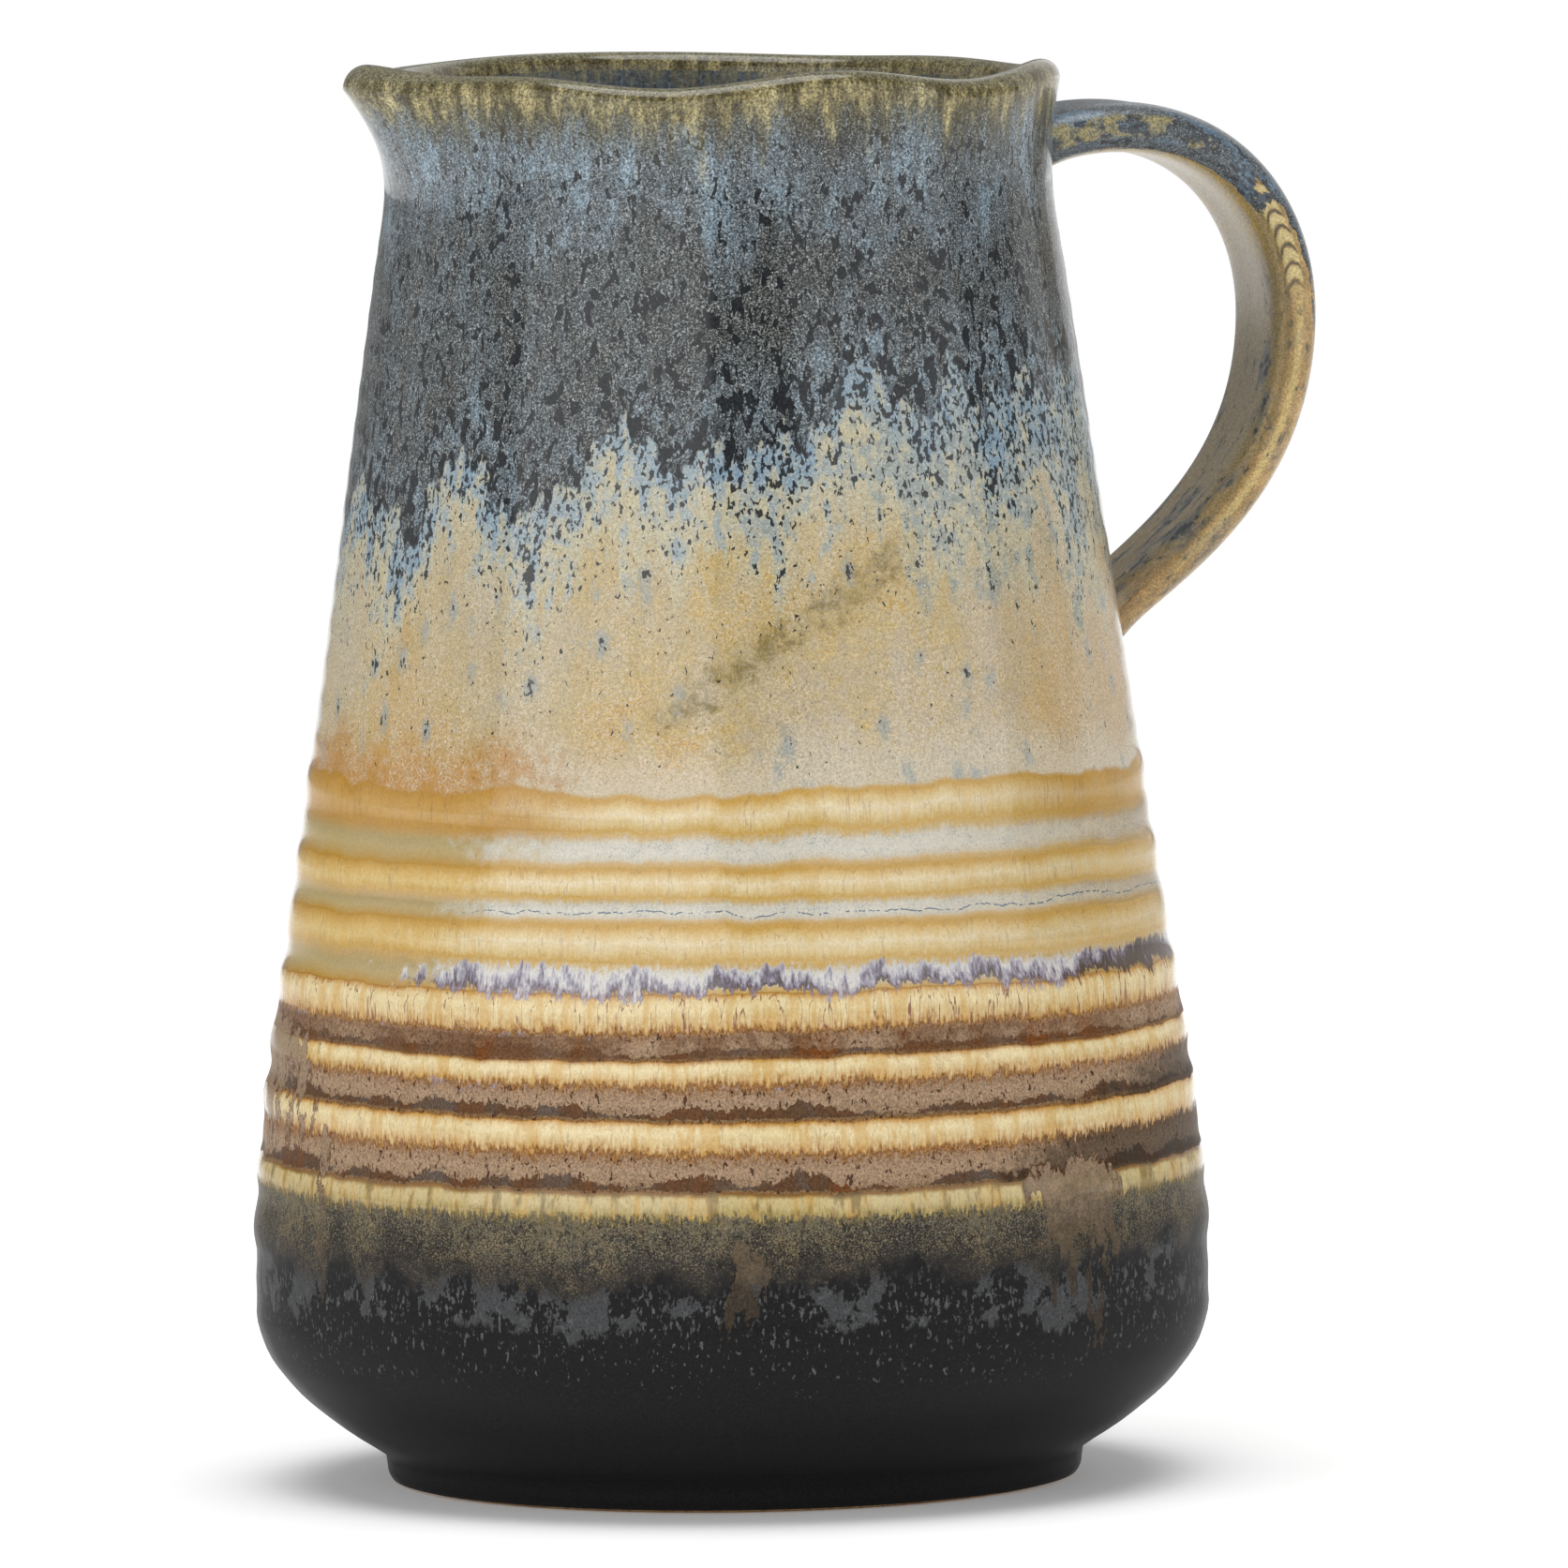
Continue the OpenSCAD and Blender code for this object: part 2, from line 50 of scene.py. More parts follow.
class Paint:
    """One output socket of a material's nodes: a value or a colour at each point of a surface.
    Arithmetic on values adds Math nodes, and node() adds any other kind."""

    def __init__(self, tree, socket):
        self.tree, self.socket = tree, socket

    def node(self, kind, settings, sockets, output=0):
        """Adds a node: its settings first, a ramp's stops among them, then its sockets' values or links."""
        made = self.tree.nodes.new(kind)
        for name, value in settings.items():
            if name == "stops":
                elements = made.color_ramp.elements
                while len(elements) < len(value):
                    elements.new(1.0)
                for element, (place, colour) in zip(elements, value):
                    element.position, element.color = place, colour
            else:
                setattr(made, name, value)
        for name, value in sockets.items():
            if isinstance(value, Paint):
                self.tree.links.new(value.socket, made.inputs[name])
            else:
                made.inputs[name].default_value = value
        return Paint(self.tree, made.outputs[output])

    def math(self, operation, *values):
        """Adds a Math node that works on these values."""
        return self.node("ShaderNodeMath", {"operation": operation}, dict(enumerate(values)))

    def __add__(self, other):
        return self.math("ADD", self, other)

    def __sub__(self, other):
        return self.math("SUBTRACT", self, other)

    def __rsub__(self, other):
        return self.math("SUBTRACT", other, self)

    def __mul__(self, other):
        return self.math("MULTIPLY", self, other)

    __radd__ = __add__
    __rmul__ = __mul__

    def rise(self, low, high):
        """0 below low, 1 above high, and a smooth step between them."""
        return self.node(
            "ShaderNodeMapRange", {"interpolation_type": "SMOOTHSTEP"},
            {"Value": self, "From Min": low, "From Max": high},
        )

    def hump(self, low, high, soft):
        """1 between low and high, with soft sides that wide."""
        return self.rise(low - soft, low) * (1 - self.rise(high, high + soft))

    def stretched(self, *scales):
        """Coordinates times a factor along each axis."""
        return self.node("ShaderNodeVectorMath", {"operation": "MULTIPLY"}, {0: self, 1: scales})

    def cloud(self, scale, detail=3.0, roughness=0.5, distortion=0.0):
        """Soft noise between 0 and 1 on these coordinates."""
        return self.node(
            "ShaderNodeTexNoise", {},
            {"Vector": self, "Scale": scale, "Detail": detail, "Roughness": roughness,
             "Distortion": distortion},
        )

    def cells(self, scale, output="Distance"):
        """Distance to the nearest of many scattered points, or that point's own random colour."""
        return self.node("ShaderNodeTexVoronoi", {}, {"Vector": self, "Scale": scale}, output)

    def over(self, under, colour, strength=1.0):
        """A colour laid over another one where this value is 1."""
        return self.node(
            "ShaderNodeMix", {"data_type": "RGBA", "clamp_factor": True},
            {0: self * strength, 6: under, 7: colour}, 2,
        )

    def grained(self, colour, depth):
        """A colour made lighter and darker by the share depth, as this noise goes up and down."""
        light = (self.rise(0.34, 0.66) - 0.5) * 2 * depth + 1
        return self.node(
            "ShaderNodeMix", {"data_type": "RGBA", "blend_type": "MULTIPLY"},
            {0: 1.0, 6: colour, 7: light}, 2,
        )

    def ramp(self, low, high, stops, sheen=0.08):
        """Colours at values between low and high, blended evenly from each to the next."""
        placed = [((place - low) / (high - low), shade(colour, sheen)) for place, colour in stops]
        along = (self - low) * (1 / (high - low))
        return self.node("ShaderNodeValToRGB", {"stops": placed}, {0: along})


def shade(code, sheen=0.08):
    """A colour as it looks in the studio, given as six hex digits, less the sheen of its gloss there."""
    part = np.array([int(code[k:k + 2], 16) for k in (0, 2, 4)]) / 255
    light = np.where(part <= 0.04045, part / 12.92, ((part + 0.055) / 1.055) ** 2.4)
    return (*(float(x) for x in np.maximum(light - sheen, light * 0.2)), 1.0)


def new_finish(name):
    """A new material: the material, its surface shader and the piece's own coordinates in mm."""
    finish = bpy.data.materials.new(name)
    finish.use_nodes = True
    tree = finish.node_tree
    place = Paint(tree, tree.nodes.new("ShaderNodeTexCoord").outputs["Object"])
    return finish, tree.nodes["Principled BSDF"], place.stretched(1 / MM, 1 / MM, 1 / MM)


def coat(shader, colour, roughness, height, depth, gloss=None):
    """Feeds the surface shader: colour, roughness, a bump of this depth in mm, and a glassy top."""
    tree = colour.tree
    bump = height.node("ShaderNodeBump", {}, {"Height": height, "Strength": 1.0, "Distance": depth * MM})
    tree.links.new(colour.socket, shader.inputs["Base Color"])
    tree.links.new(roughness.socket, shader.inputs["Roughness"])
    tree.links.new(bump.socket, shader.inputs["Normal"])
    if gloss is not None:
        tree.links.new(gloss.socket, shader.inputs["Coat Weight"])


def turned(radius, height, turn):
    """Points round the jug's axis: each at its radius and height in mm, in the direction of its turn."""
    return np.stack(np.broadcast_arrays(radius * np.cos(turn), radius * np.sin(turn), height), -1)


def skin(name, points, marks=None, first_end=None, last_end=None):
    """A surface through points in mm, given by row and column and closed round the columns. Each face
    joins four neighbours, and an end closes the first or last row to one point."""
    rows, columns = points.shape[:2]
    index = np.arange(rows * columns).reshape(rows, columns)
    ahead = np.roll(index, -1, axis=1)
    faces = np.stack([index[:-1], ahead[:-1], ahead[1:], index[1:]], -1).reshape(-1, 4).tolist()
    # The map unrolls the piece: round it from left to right, along it from bottom to top.
    along = np.concatenate([[0], np.cumsum(np.linalg.norm(np.diff(points, axis=0), axis=2).mean(1))])
    along = MAP_MARGIN + (1 - 2 * MAP_MARGIN) * along / along[-1]
    start = np.arange(columns)
    sideways = np.broadcast_to(np.stack([start, start + 1, start + 1, start], -1), (rows - 1, columns, 4))
    upward = np.stack([along[:-1], along[:-1], along[1:], along[1:]], -1)[:, None]
    flat = [np.stack([sideways / columns, np.broadcast_to(upward, sideways.shape)], -1).reshape(-1, 2)]
    ends, rim = [], []
    for end, row, order, tip in (first_end, 0, (0.5, 1, 0), 0.0), (last_end, -1, (0.5, 0, 1), 1.0):
        if end is not None:
            pair = (ahead[row], index[row]) if row == 0 else (index[row], ahead[row])
            faces += np.stack([np.full(columns, index.size + len(ends)), *pair], -1).tolist()
            across = np.stack([(start + step) / columns for step in order], -1)
            upright = np.broadcast_to([tip, along[row], along[row]], across.shape)
            flat.append(np.stack([across, upright], -1))
            ends.append(end)
            rim.append(row)
    mesh = bpy.data.meshes.new(name)
    mesh.from_pydata(np.concatenate([points.reshape(-1, 3), np.reshape(ends, (-1, 3))]) * MM, [], faces)
    mesh.shade_smooth()
    for mark, values in (marks or {}).items():
        values = np.broadcast_to(values, (rows, columns))
        full = np.concatenate([values.ravel(), [values[row].mean() for row in rim]]).astype(np.float32)
        mesh.attributes.new(mark, "FLOAT", "POINT").data.foreach_set("value", full)
    flat = np.concatenate([part.reshape(-1, 2) for part in flat]).astype(np.float32)
    mesh.uv_layers.new(name="OFBake").uv.foreach_set("vector", flat.ravel())
    piece = bpy.data.objects.new(name, mesh)
    bpy.context.scene.collection.objects.link(piece)
    return piece


# From the middle of the underside out, down the inside of the ring, across it and up the outer rounding.
foot_turn = np.linspace(0, 2 * np.pi, FOOT_COLUMNS, endpoint=False)
foot_inner = FOOT_R - FOOT_W
foot_clay_r = FOOT_R - COAT
edge_tilt = np.radians(np.linspace(-90, -25, 9))
foot_r = np.concatenate([
    [10, 20, 30, 40, foot_inner - 0.5, foot_inner - 0.1, foot_inner, foot_inner, foot_inner],
    [foot_inner + FOOT_BEVEL * 0.1, foot_inner + FOOT_BEVEL * 0.9, foot_inner + FOOT_BEVEL, 46.5, 47.8],
    foot_clay_r - FOOT_ROUND + FOOT_ROUND * np.cos(edge_tilt),
])
foot_z = np.concatenate([
    [FOOT_H, FOOT_H, FOOT_H, FOOT_H, FOOT_H, FOOT_H - 0.1, FOOT_H - 0.5, FOOT_BEVEL + 1, FOOT_BEVEL + 0.2],
    [FOOT_BEVEL * 0.9, FOOT_BEVEL * 0.1, 0, 0, 0],
    FOOT_ROUND + FOOT_ROUND * np.sin(edge_tilt),
])
foot = skin("foot_ring_bare", turned(foot_r[:, None], foot_z[:, None], foot_turn), first_end=(0, 0, FOOT_H))

bare_clay, shader, place = new_finish("bare_stoneware")
grain = place.cloud(1.4, 5.0, 0.65)
stain = place.cloud(0.09, 3.0)
grit = place.cells(0.55)
turning = place.node("ShaderNodeVectorMath", {"operation": "LENGTH"}, {0: place}, "Value")
rings = turning.math("SINE", turning * 4.4) * 0.5 + 0.5
colour = grain.ramp(0.3, 0.7, [(0.3, "8a6f53"), (0.5, "ad9170"), (0.7, "c4a888")])
colour = stain.rise(0.45, 0.7).over(colour, shade("8d6a4a"), 0.5)
colour = (1 - grit.rise(0.1, 0.2)).over(colour, shade("4d3a2a"), 0.7)
coat(shader, colour, grain * 0.2 + 0.68, grain * 0.6 + rings * 0.4, 0.12)
foot.data.materials.append(bare_clay)
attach(foot, "root")
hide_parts("foot_ring")


# Outside of the jug: thrown stoneware with eight throwing rings low on the wall, drawn in to a neck,
# with a wavy rim pulled out to a spout. It was dipped and poured in layers of glaze that ran into
# each other in the kiln: black at the foot, striped over the rings, honey above, slate blue on top.
COLUMNS = 400
RIM_Z, RIM_R = 209.1, 51.0
NECK_Z, NECK_R = 193.0, 49.3
THROAT_Z, THROAT_R = 180.0, 50.9
SHOULDER_Z, SHOULDER_R = 60.0, 68.3
BELLY_Z, BELLY_R = 26.0, 70.6
WALL_T, RIM_T = 4.6, 4.0
RING_Z = np.array([38.8, 46.9, 58.1, 66.7, 75.5, 84.5, 93.0, 105.0])
RING_W = 8.6
RING_H = np.array([0.55, 0.5, 0.55, 0.55, 0.5, 0.4, 0.33, 0.3])
# How far each ring sits above its mean height on the side of the lip's waves
RING_FRONT = np.array([-0.8, -0.5, -0.9, -0.5, 0.2, 0.6, 0.9, -0.5])
# Lower and upper edge of the pale stripe on each ring but the lowest
STRIPES = [
    (46.0, 49.2), (55.9, 60.0), (65.6, 68.6), (72.6, 77.4), (82.5, 87.0), (91.2, 95.2), (102.3, 107.2),
]
# Fine throwing marks all over the wall: height in mm, and radians of their wave per mm up the wall
THROW_MARK_H, THROW_MARK_RATE = 0.05, 1.1
FRONT = np.radians(249)
SPOUT_Z, SPOUT_REACH, SPOUT_W, SPOUT_LIFT, SPOUT_LEAN = 191.0, 7.3, 27.0, 1.8, 1.4
WAVE_H, WAVE_COUNT, SWELL_H, LEAN_H = 1.1, 6, 0.8, 0.4
SWELL_TURN = np.radians(15)
SPOUT_ROUND = 0.4
GLAZE_EDGE_TILT, FOOT_FILLET = 38, 1.0
# Lower edge of the slate glaze: turn in degrees and height in mm of each tongue and flame
SLATE_EDGE = [
    (0, 153), (14, 160), (30, 151), (45, 160), (62, 150), (78, 158), (95, 147), (110, 155), (128, 144),
    (142, 152), (156, 142), (169, 146), (180, 150), (194, 142), (207, 159), (217, 145), (226, 149),
    (234, 161), (243, 153), (249, 161), (257, 157), (264, 162), (273, 172), (281, 158), (289, 167),
    (295, 159), (303, 167), (312, 159), (324, 165), (335, 156), (348, 161),
]


def fair(z, z0, r0, slope0, z1, r1, slope1):
    """A cubic from (z0, r0) to (z1, r1) that leaves and arrives at the given slopes."""
    h = z1 - z0
    u = (z - z0) / h
    return r0 + (r1 - r0) * u * u * (3 - 2 * u) + h * u * (1 - u) * (slope0 * (1 - u) - slope1 * u)


def wall_r(z):
    """Radius of the wall without its rings: a bowl that runs softly into the foot, a fair curve over
    the shoulder, a straight taper, a drawn-in neck and a rim that flares as the square of the height."""
    slope = (THROAT_R - SHOULDER_R) / (THROAT_Z - SHOULDER_Z)
    bowl = BELLY_R - (BELLY_R - FOOT_R) * ((BELLY_Z - z) / (BELLY_Z - FOOT_H)) ** 2
    bowl = (bowl + FOOT_R + np.hypot(bowl - FOOT_R, FOOT_FILLET)) / 2
    shoulder = fair(z, BELLY_Z, BELLY_R, 0, SHOULDER_Z, SHOULDER_R, slope)
    taper = SHOULDER_R + slope * (z - SHOULDER_Z)
    neck = fair(z, THROAT_Z, THROAT_R, slope, NECK_Z, NECK_R, 0)
    flare = NECK_R + (RIM_R - NECK_R) * ((z - NECK_Z) / (RIM_Z - NECK_Z)) ** 2
    below = [z < BELLY_Z, z < SHOULDER_Z, z < THROAT_Z, z < NECK_Z]
    return np.select(below, [bowl, shoulder, taper, neck], flare)


def ring_sway(z, turn):
    """How far the rings sway up at a height and turn: each ring has its own tilt and slow waves,
    blended evenly from one ring to the next."""
    k = np.arange(len(RING_Z))[:, None]
    round_by = turn - FRONT
    sway = RING_FRONT[:, None] * np.cos(round_by)
    for height, count, own in (0.3, 2, 1.9 * k), (0.16, 5, 2.7 * k * k), (0.07, 12, 4 * k):
        sway = sway + height * np.cos(own) * np.sin(count * round_by)
    at = np.interp(z, RING_Z, k[:, 0])
    low = np.minimum(at.astype(int), len(RING_Z) - 2)
    column = np.broadcast_to(np.arange(len(turn)), z.shape)
    return sway[low, column] + (sway[low + 1, column] - sway[low, column]) * (at - low)


def ring_relief(level, turn):
    """How far the rings stand out: on each ring one swell, half a cosine wave high and ring-wide."""
    off = level[..., None] - RING_Z
    swell = np.where(np.abs(off) < RING_W / 2, 0.5 + 0.5 * np.cos(2 * np.pi * off / RING_W), 0)
    strength = 1 + 0.15 * np.sin(3 * turn + 1.0) + 0.1 * np.sin(7 * turn)
    return (RING_H * swell).max(-1) * strength


def spout_shape(turn):
    """1 in the middle of the spout, falling off along the rim as a bell."""
    return np.exp(-(2 * np.abs(turn - np.pi) * RIM_R / SPOUT_W) ** 2)


def rim_top(turn):
    """Height of the rim: short waves on one side that fade into two long swells on the other."""
    near = (1 - np.sin(turn)) / 2
    return (
        RIM_Z + SPOUT_LIFT * spout_shape(turn) - near * WAVE_H * np.cos(WAVE_COUNT * (turn - np.pi))
        - (1 - near) * SWELL_H * np.cos(2 * (turn - SWELL_TURN)) - LEAN_H * np.sin(turn)
    )


turn = np.linspace(0, 2 * np.pi, COLUMNS, endpoint=False)
lip_z = rim_top(turn) - RIM_T / 2 - COAT
# The lip is rounded, and thickest at the tip of the spout.
lip_round = (RIM_T / 2 + COAT) * (1 + SPOUT_ROUND * spout_shape(turn))


def neck_r(z, turn):
    """Outside radius of the wall with the spout, which leans out slowly at first."""
    lean = np.maximum(0, (z - SPOUT_Z) / (lip_z - SPOUT_Z)) ** SPOUT_LEAN
    return wall_r(z) + SPOUT_REACH * spout_shape(turn) * lean


# Rows round the foot's edge, up the wall, closer together over the rings, and over the rounded lip
foot_tilt = np.radians(np.linspace(-GLAZE_EDGE_TILT, 0, 7))
edge_r = FOOT_R - COAT - FOOT_ROUND + (FOOT_ROUND + COAT) * np.cos(foot_tilt)
edge_z = FOOT_ROUND + (FOOT_ROUND + COAT) * np.sin(foot_tilt)
NECK_ROWS_Z = 185.0
wall_z = np.concatenate([
    [3.3, 4.0], np.arange(4.6, 35, 1.3), np.arange(35, 112, 0.56), np.arange(112, NECK_ROWS_Z, 1.8),
])
neck_share = np.linspace(0, 1, 17)[:, None]
lip_tilt = np.radians(np.linspace(0, 180, 15))[1:, None]
wall_rows = np.repeat(wall_z[:, None], COLUMNS, 1)
level = wall_rows - ring_sway(wall_rows, turn)
neck_rows = NECK_ROWS_Z + (lip_z - NECK_ROWS_Z) * neck_share
lip_mid = neck_r(lip_z, turn) - lip_round
throw_marks = THROW_MARK_H * np.sin(wall_rows * THROW_MARK_RATE + 2 * turn)
outside_r = np.concatenate([
    np.repeat(edge_r[:, None], COLUMNS, 1),
    wall_r(wall_rows) + ring_relief(level, turn) + throw_marks,
    neck_r(neck_rows, turn),
    lip_mid + lip_round * np.cos(lip_tilt),
])
outside_z = np.concatenate([
    np.repeat(edge_z[:, None], COLUMNS, 1), wall_rows, neck_rows,
    lip_z + lip_round * np.sin(lip_tilt),
])
level = outside_z - ring_sway(outside_z, turn)
edge_turns, edge_heights = np.array(SLATE_EDGE, float).T
slate_edge = np.interp(np.degrees(turn), edge_turns, edge_heights, period=360)
# The stripe count is 0 at the lowest ring, and each pale stripe spans the upper four tenths of one.
counts = np.arange(1, len(STRIPES) + 1)
stripe = np.interp(
    level, [0, RING_Z[0] - 2.5, *np.ravel(STRIPES), 220],
    [-1, 0, *np.stack([counts - 0.4, counts], 1).ravel(), 18],
)
# Spills: turn in degrees, width, upper and lower height in mm of runs of taupe down over the stripes
SPILLS = [
    (164, 44, 69, 46), (190, 3, 54, 26), (292, 9, 49, 25), (298.5, 9, 49, 17),
    (250, 6, 41, 22), (60, 4, 52, 18), (128, 3, 52, 22), (10, 4, 52, 16),
]
# Radius of the wall at the spills, and how softly they begin
SPILL_R, SPILL_SOFT = 66, 4
# Smudge: two turns and heights between which a thumb wiped the wet glaze
SMUDGE = (280, 143), (238, 116)
# Radius of the wall at the smudge, the smudge's half width and how far its ends fade
SMUDGE_R, SMUDGE_W, SMUDGE_FADE = 58, 4.5, 6


def spill_over(level, turn):
    """How deep each spill lies: a bell across it, tapering from its upper to its lower height."""
    depth = np.zeros_like(level)
    for way, width, high, low in SPILLS:
        aside = SPILL_R * np.angle(np.exp(1j * (turn - np.radians(way)))) / (width / 2)
        fall = np.clip((level - low) / (high - low), 0, 1)
        begin = np.clip((high + SPILL_SOFT - level) / SPILL_SOFT, 0, 1)
        depth = np.maximum(depth, np.exp(-aside ** 2) * fall * begin)
    return depth


def smudge_at(level, turn):
    """A soft band round the straight line between the smudge's ends, on the unrolled wall."""
    (turn0, z0), (turn1, z1) = SMUDGE
    way = np.array([np.radians(turn1 - turn0) * SMUDGE_R, z1 - z0])
    reach = np.hypot(*way)
    side, rise = SMUDGE_R * (turn - np.radians(turn0)), level - z0
    along = (side * way[0] + rise * way[1]) / reach ** 2
    off = (side * way[1] - rise * way[0]) / reach
    ends = np.exp(-(np.maximum(0, np.abs(along - 0.5) - 0.4) * reach / SMUDGE_FADE) ** 2)
    return np.exp(-(off / SMUDGE_W) ** 2) * ends


wall = skin("glazed_wall", turned(outside_r, outside_z, turn), {
    "stripe": stripe, "level": level, "above_edge": level - slate_edge,
    "below_rim": rim_top(turn) - outside_z,
    "spill": spill_over(level, turn), "smudge": smudge_at(level, turn),
})


def mark(place, name):
    """A value that the mesh carries at each of its points."""
    return place.node("ShaderNodeAttribute", {"attribute_name": name}, {}, "Fac")


glaze, shader, place = new_finish("layered_glaze")
shader.inputs["Specular IOR Level"].default_value = 0.07
shader.inputs["Coat Roughness"].default_value = 0.09
stripe, level = mark(place, "stripe"), mark(place, "level")
above_edge, below_rim = mark(place, "above_edge"), mark(place, "below_rim")
spill, smudge = mark(place, "spill"), mark(place, "smudge")

# Patterns in the glaze, from broad patches down to grain
patch = place.stretched(1, 1, 0.7).cloud(0.035, 2.0)
bulge = place.stretched(1, 1, 0.3).cloud(0.075, 2.0)
run = place.stretched(1, 1, 0.3).cloud(0.16, 4.0, 0.55)
drip = place.stretched(1, 1, 0.3).cloud(0.5, 4.0, 0.6)
thread = place.stretched(1, 1, 0.06).cloud(0.42, 3.0, 0.6)
hair = place.stretched(1, 1, 0.25).cloud(2.2, 3.0, 0.6)
mottle = place.cloud(0.45, 4.0, 0.6)
island = place.stretched(1, 1, 0.8).cloud(0.15, 7.0, 0.68)
blotch = place.stretched(1, 1, 0.55).cloud(0.62, 3.0, 0.6, 0.4)
speck = place.stretched(1, 1, 0.6).cloud(1.5, 2.0, 0.5, 0.5)
crystal = place.cloud(1.7, 2.0, 0.6, 0.8)
grain = place.cloud(4.2, 2.0, 0.7)
sand = place.cloud(2.7, 2.0, 0.6)


def towards(place, degrees):
    """Cosine of the turn away from a direction, near enough on a wall of about 60 mm radius."""
    way = np.radians(degrees)
    return place.node(
        "ShaderNodeVectorMath", {"operation": "DOT_PRODUCT"},
        {0: place, 1: (np.cos(way) / 60, np.sin(way) / 60, 0)}, "Value",
    )


# Black foot: islands and strokes of grey lie on it, and olive grains thicken towards the lowest stripe.
colour = grain.ramp(0.3, 0.7, [(0.3, "0e0e0f"), (0.5, "131314"), (0.7, "1b1a1b")], 0.0)
patchy = level + (bulge - 0.5) * 12 + (drip - 0.5) * 6
islands = (island + (patch - 0.5) * 0.4).rise(0.53, 0.538) * patchy.hump(29.5, 36, 1)
strokes = (hair * 0.45 + speck * 0.55 + (level - 30) * 0.005).rise(0.565, 0.6) * patchy.hump(22, 33, 4)
colour = strokes.over(colour, shade("68696b", 0.0), 0.55)
colour = (islands * (0.4 + grain * 0.8)).over(colour, shade("4b4c4d", 0.0), 0.85)
ash = (level + (bulge - 0.5) * 14 + (island - 0.5) * 10 + (drip - 0.5) * 6).rise(34.8, 38.2)
colour = ash.over(colour, shade("2f2c29", 0.0))
olive = (grain + (level - 41 + (bulge - 0.5) * 16 + (island - 0.5) * 26) * 0.022).rise(0.46, 0.58) * ash
colour = olive.over(colour, mottle.ramp(0.35, 0.65, [(0.35, "605d52"), (0.65, "7e7057")], 0.02), 0.85)
colour = (ash * (speck * 0.6 + blotch * 0.4).rise(0.54, 0.58)).over(colour, shade("221f1c", 0.0), 0.75)
colour = (ash * grain.rise(0.52, 0.68) * level.rise(38, 42)).over(colour, shade("989079", 0.02), 0.5)

# Stripes over the rings. The phase runs from 0 at the upper edge of one pale stripe to 1 at the next.
swayed = stripe + (run - 0.5) * 0.18 + stripe.rise(5.9, 6.9) * (bulge - 0.5) * 0.45
phase = swayed.math("FRACT", swayed)
middle = 4 * phase * (1 - phase)
ragged = 1 - stripe.rise(4.3, 4.7) * 0.6
phase = phase + ((hair - 0.5) * 0.45 + (speck - 0.5) * 0.25) * middle * ragged
lowest = phase.ramp(0.5, 1, [
    (0.5, "6b664f"), (0.58, "857a58"), (0.66, "ae9d70"), (0.8, "c5b58a"), (0.93, "c9b88c"), (1, "8a7048"),
], 0.06)
taupe_stripe = phase.ramp(0, 1, [
    (0, "936a3d"), (0.025, "7c5f43"), (0.06, "806b54"), (0.1, "937b65"), (0.3, "a38b74"),
    (0.46, "997e66"), (0.53, "865d3a"), (0.58, "a67b48"), (0.64, "c3a26e"), (0.72, "d1ba8b"),
    (0.85, "dfcfa4"), (0.93, "d5bf91"), (0.98, "ba8f52"), (1, "936a3d"),
], 0.03)
white_stripe = phase.ramp(0, 1, [
    (0, "c4a46e"), (0.07, "c9b18a"), (0.11, "cdc3b0"), (0.2, "d3cfc3"), (0.36, "cfcabd"),
    (0.44, "cab48e"), (0.53, "c8a86d"), (0.64, "d5c093"), (0.76, "e1d3b3"), (0.87, "d6bf91"),
    (0.95, "c7a66e"), (1, "c4a46e"),
])
tan_stripe = phase.ramp(0, 1, [
    (0, "b8945a"), (0.08, "b89e70"), (0.2, "b8a67e"), (0.34, "b0a07a"), (0.46, "bda378"),
    (0.58, "c9a96f"), (0.72, "d8c08c"), (0.85, "d0b27a"), (1, "b8945a"),
])
climb = (level.math("MINIMUM", level, 98.0) - 79) * 0.017
pale_side = (towards(place, 295) - climb + (patch - 0.5) * 0.8 + (mottle - 0.5) * 0.5).rise(-0.14, 0.16)
colour = (stripe.rise(0.5, 0.52) * phase.rise(0.56, 0.64)).over(colour, lowest)
colour = swayed.rise(0.995, 1.005).over(colour, taupe_stripe)
upper_stripe = pale_side.over(tan_stripe, white_stripe)
upper_stripe = (stripe.rise(6.3, 6.5) * (1 - towards(place, 262).rise(0.72, 0.97))).over(
    upper_stripe, shade("b38a4a"), 0.6)
far_right = (towards(place, 339) + (mottle - 0.5) * 0.3).rise(0.78, 1.0)
upper_stripe = (far_right * (1 - phase.rise(0.4, 0.5)) * grain.rise(0.4, 0.6)).over(
    upper_stripe, shade("7d6c62", 0.05), 0.75)
upper_stripe = towards(place, 332).rise(0.5, 1.0).over(upper_stripe, shade("b49a68"), 0.35)
dotted = (swayed + (run - 0.5) * 0.3).hump(5.2, 5.215, 0.012) * speck.rise(0.44, 0.5) * pale_side
upper_stripe = dotted.over(upper_stripe, shade("3a556c", 0.02), 0.85)
colour = swayed.rise(3.985, 4.015).over(colour, upper_stripe)

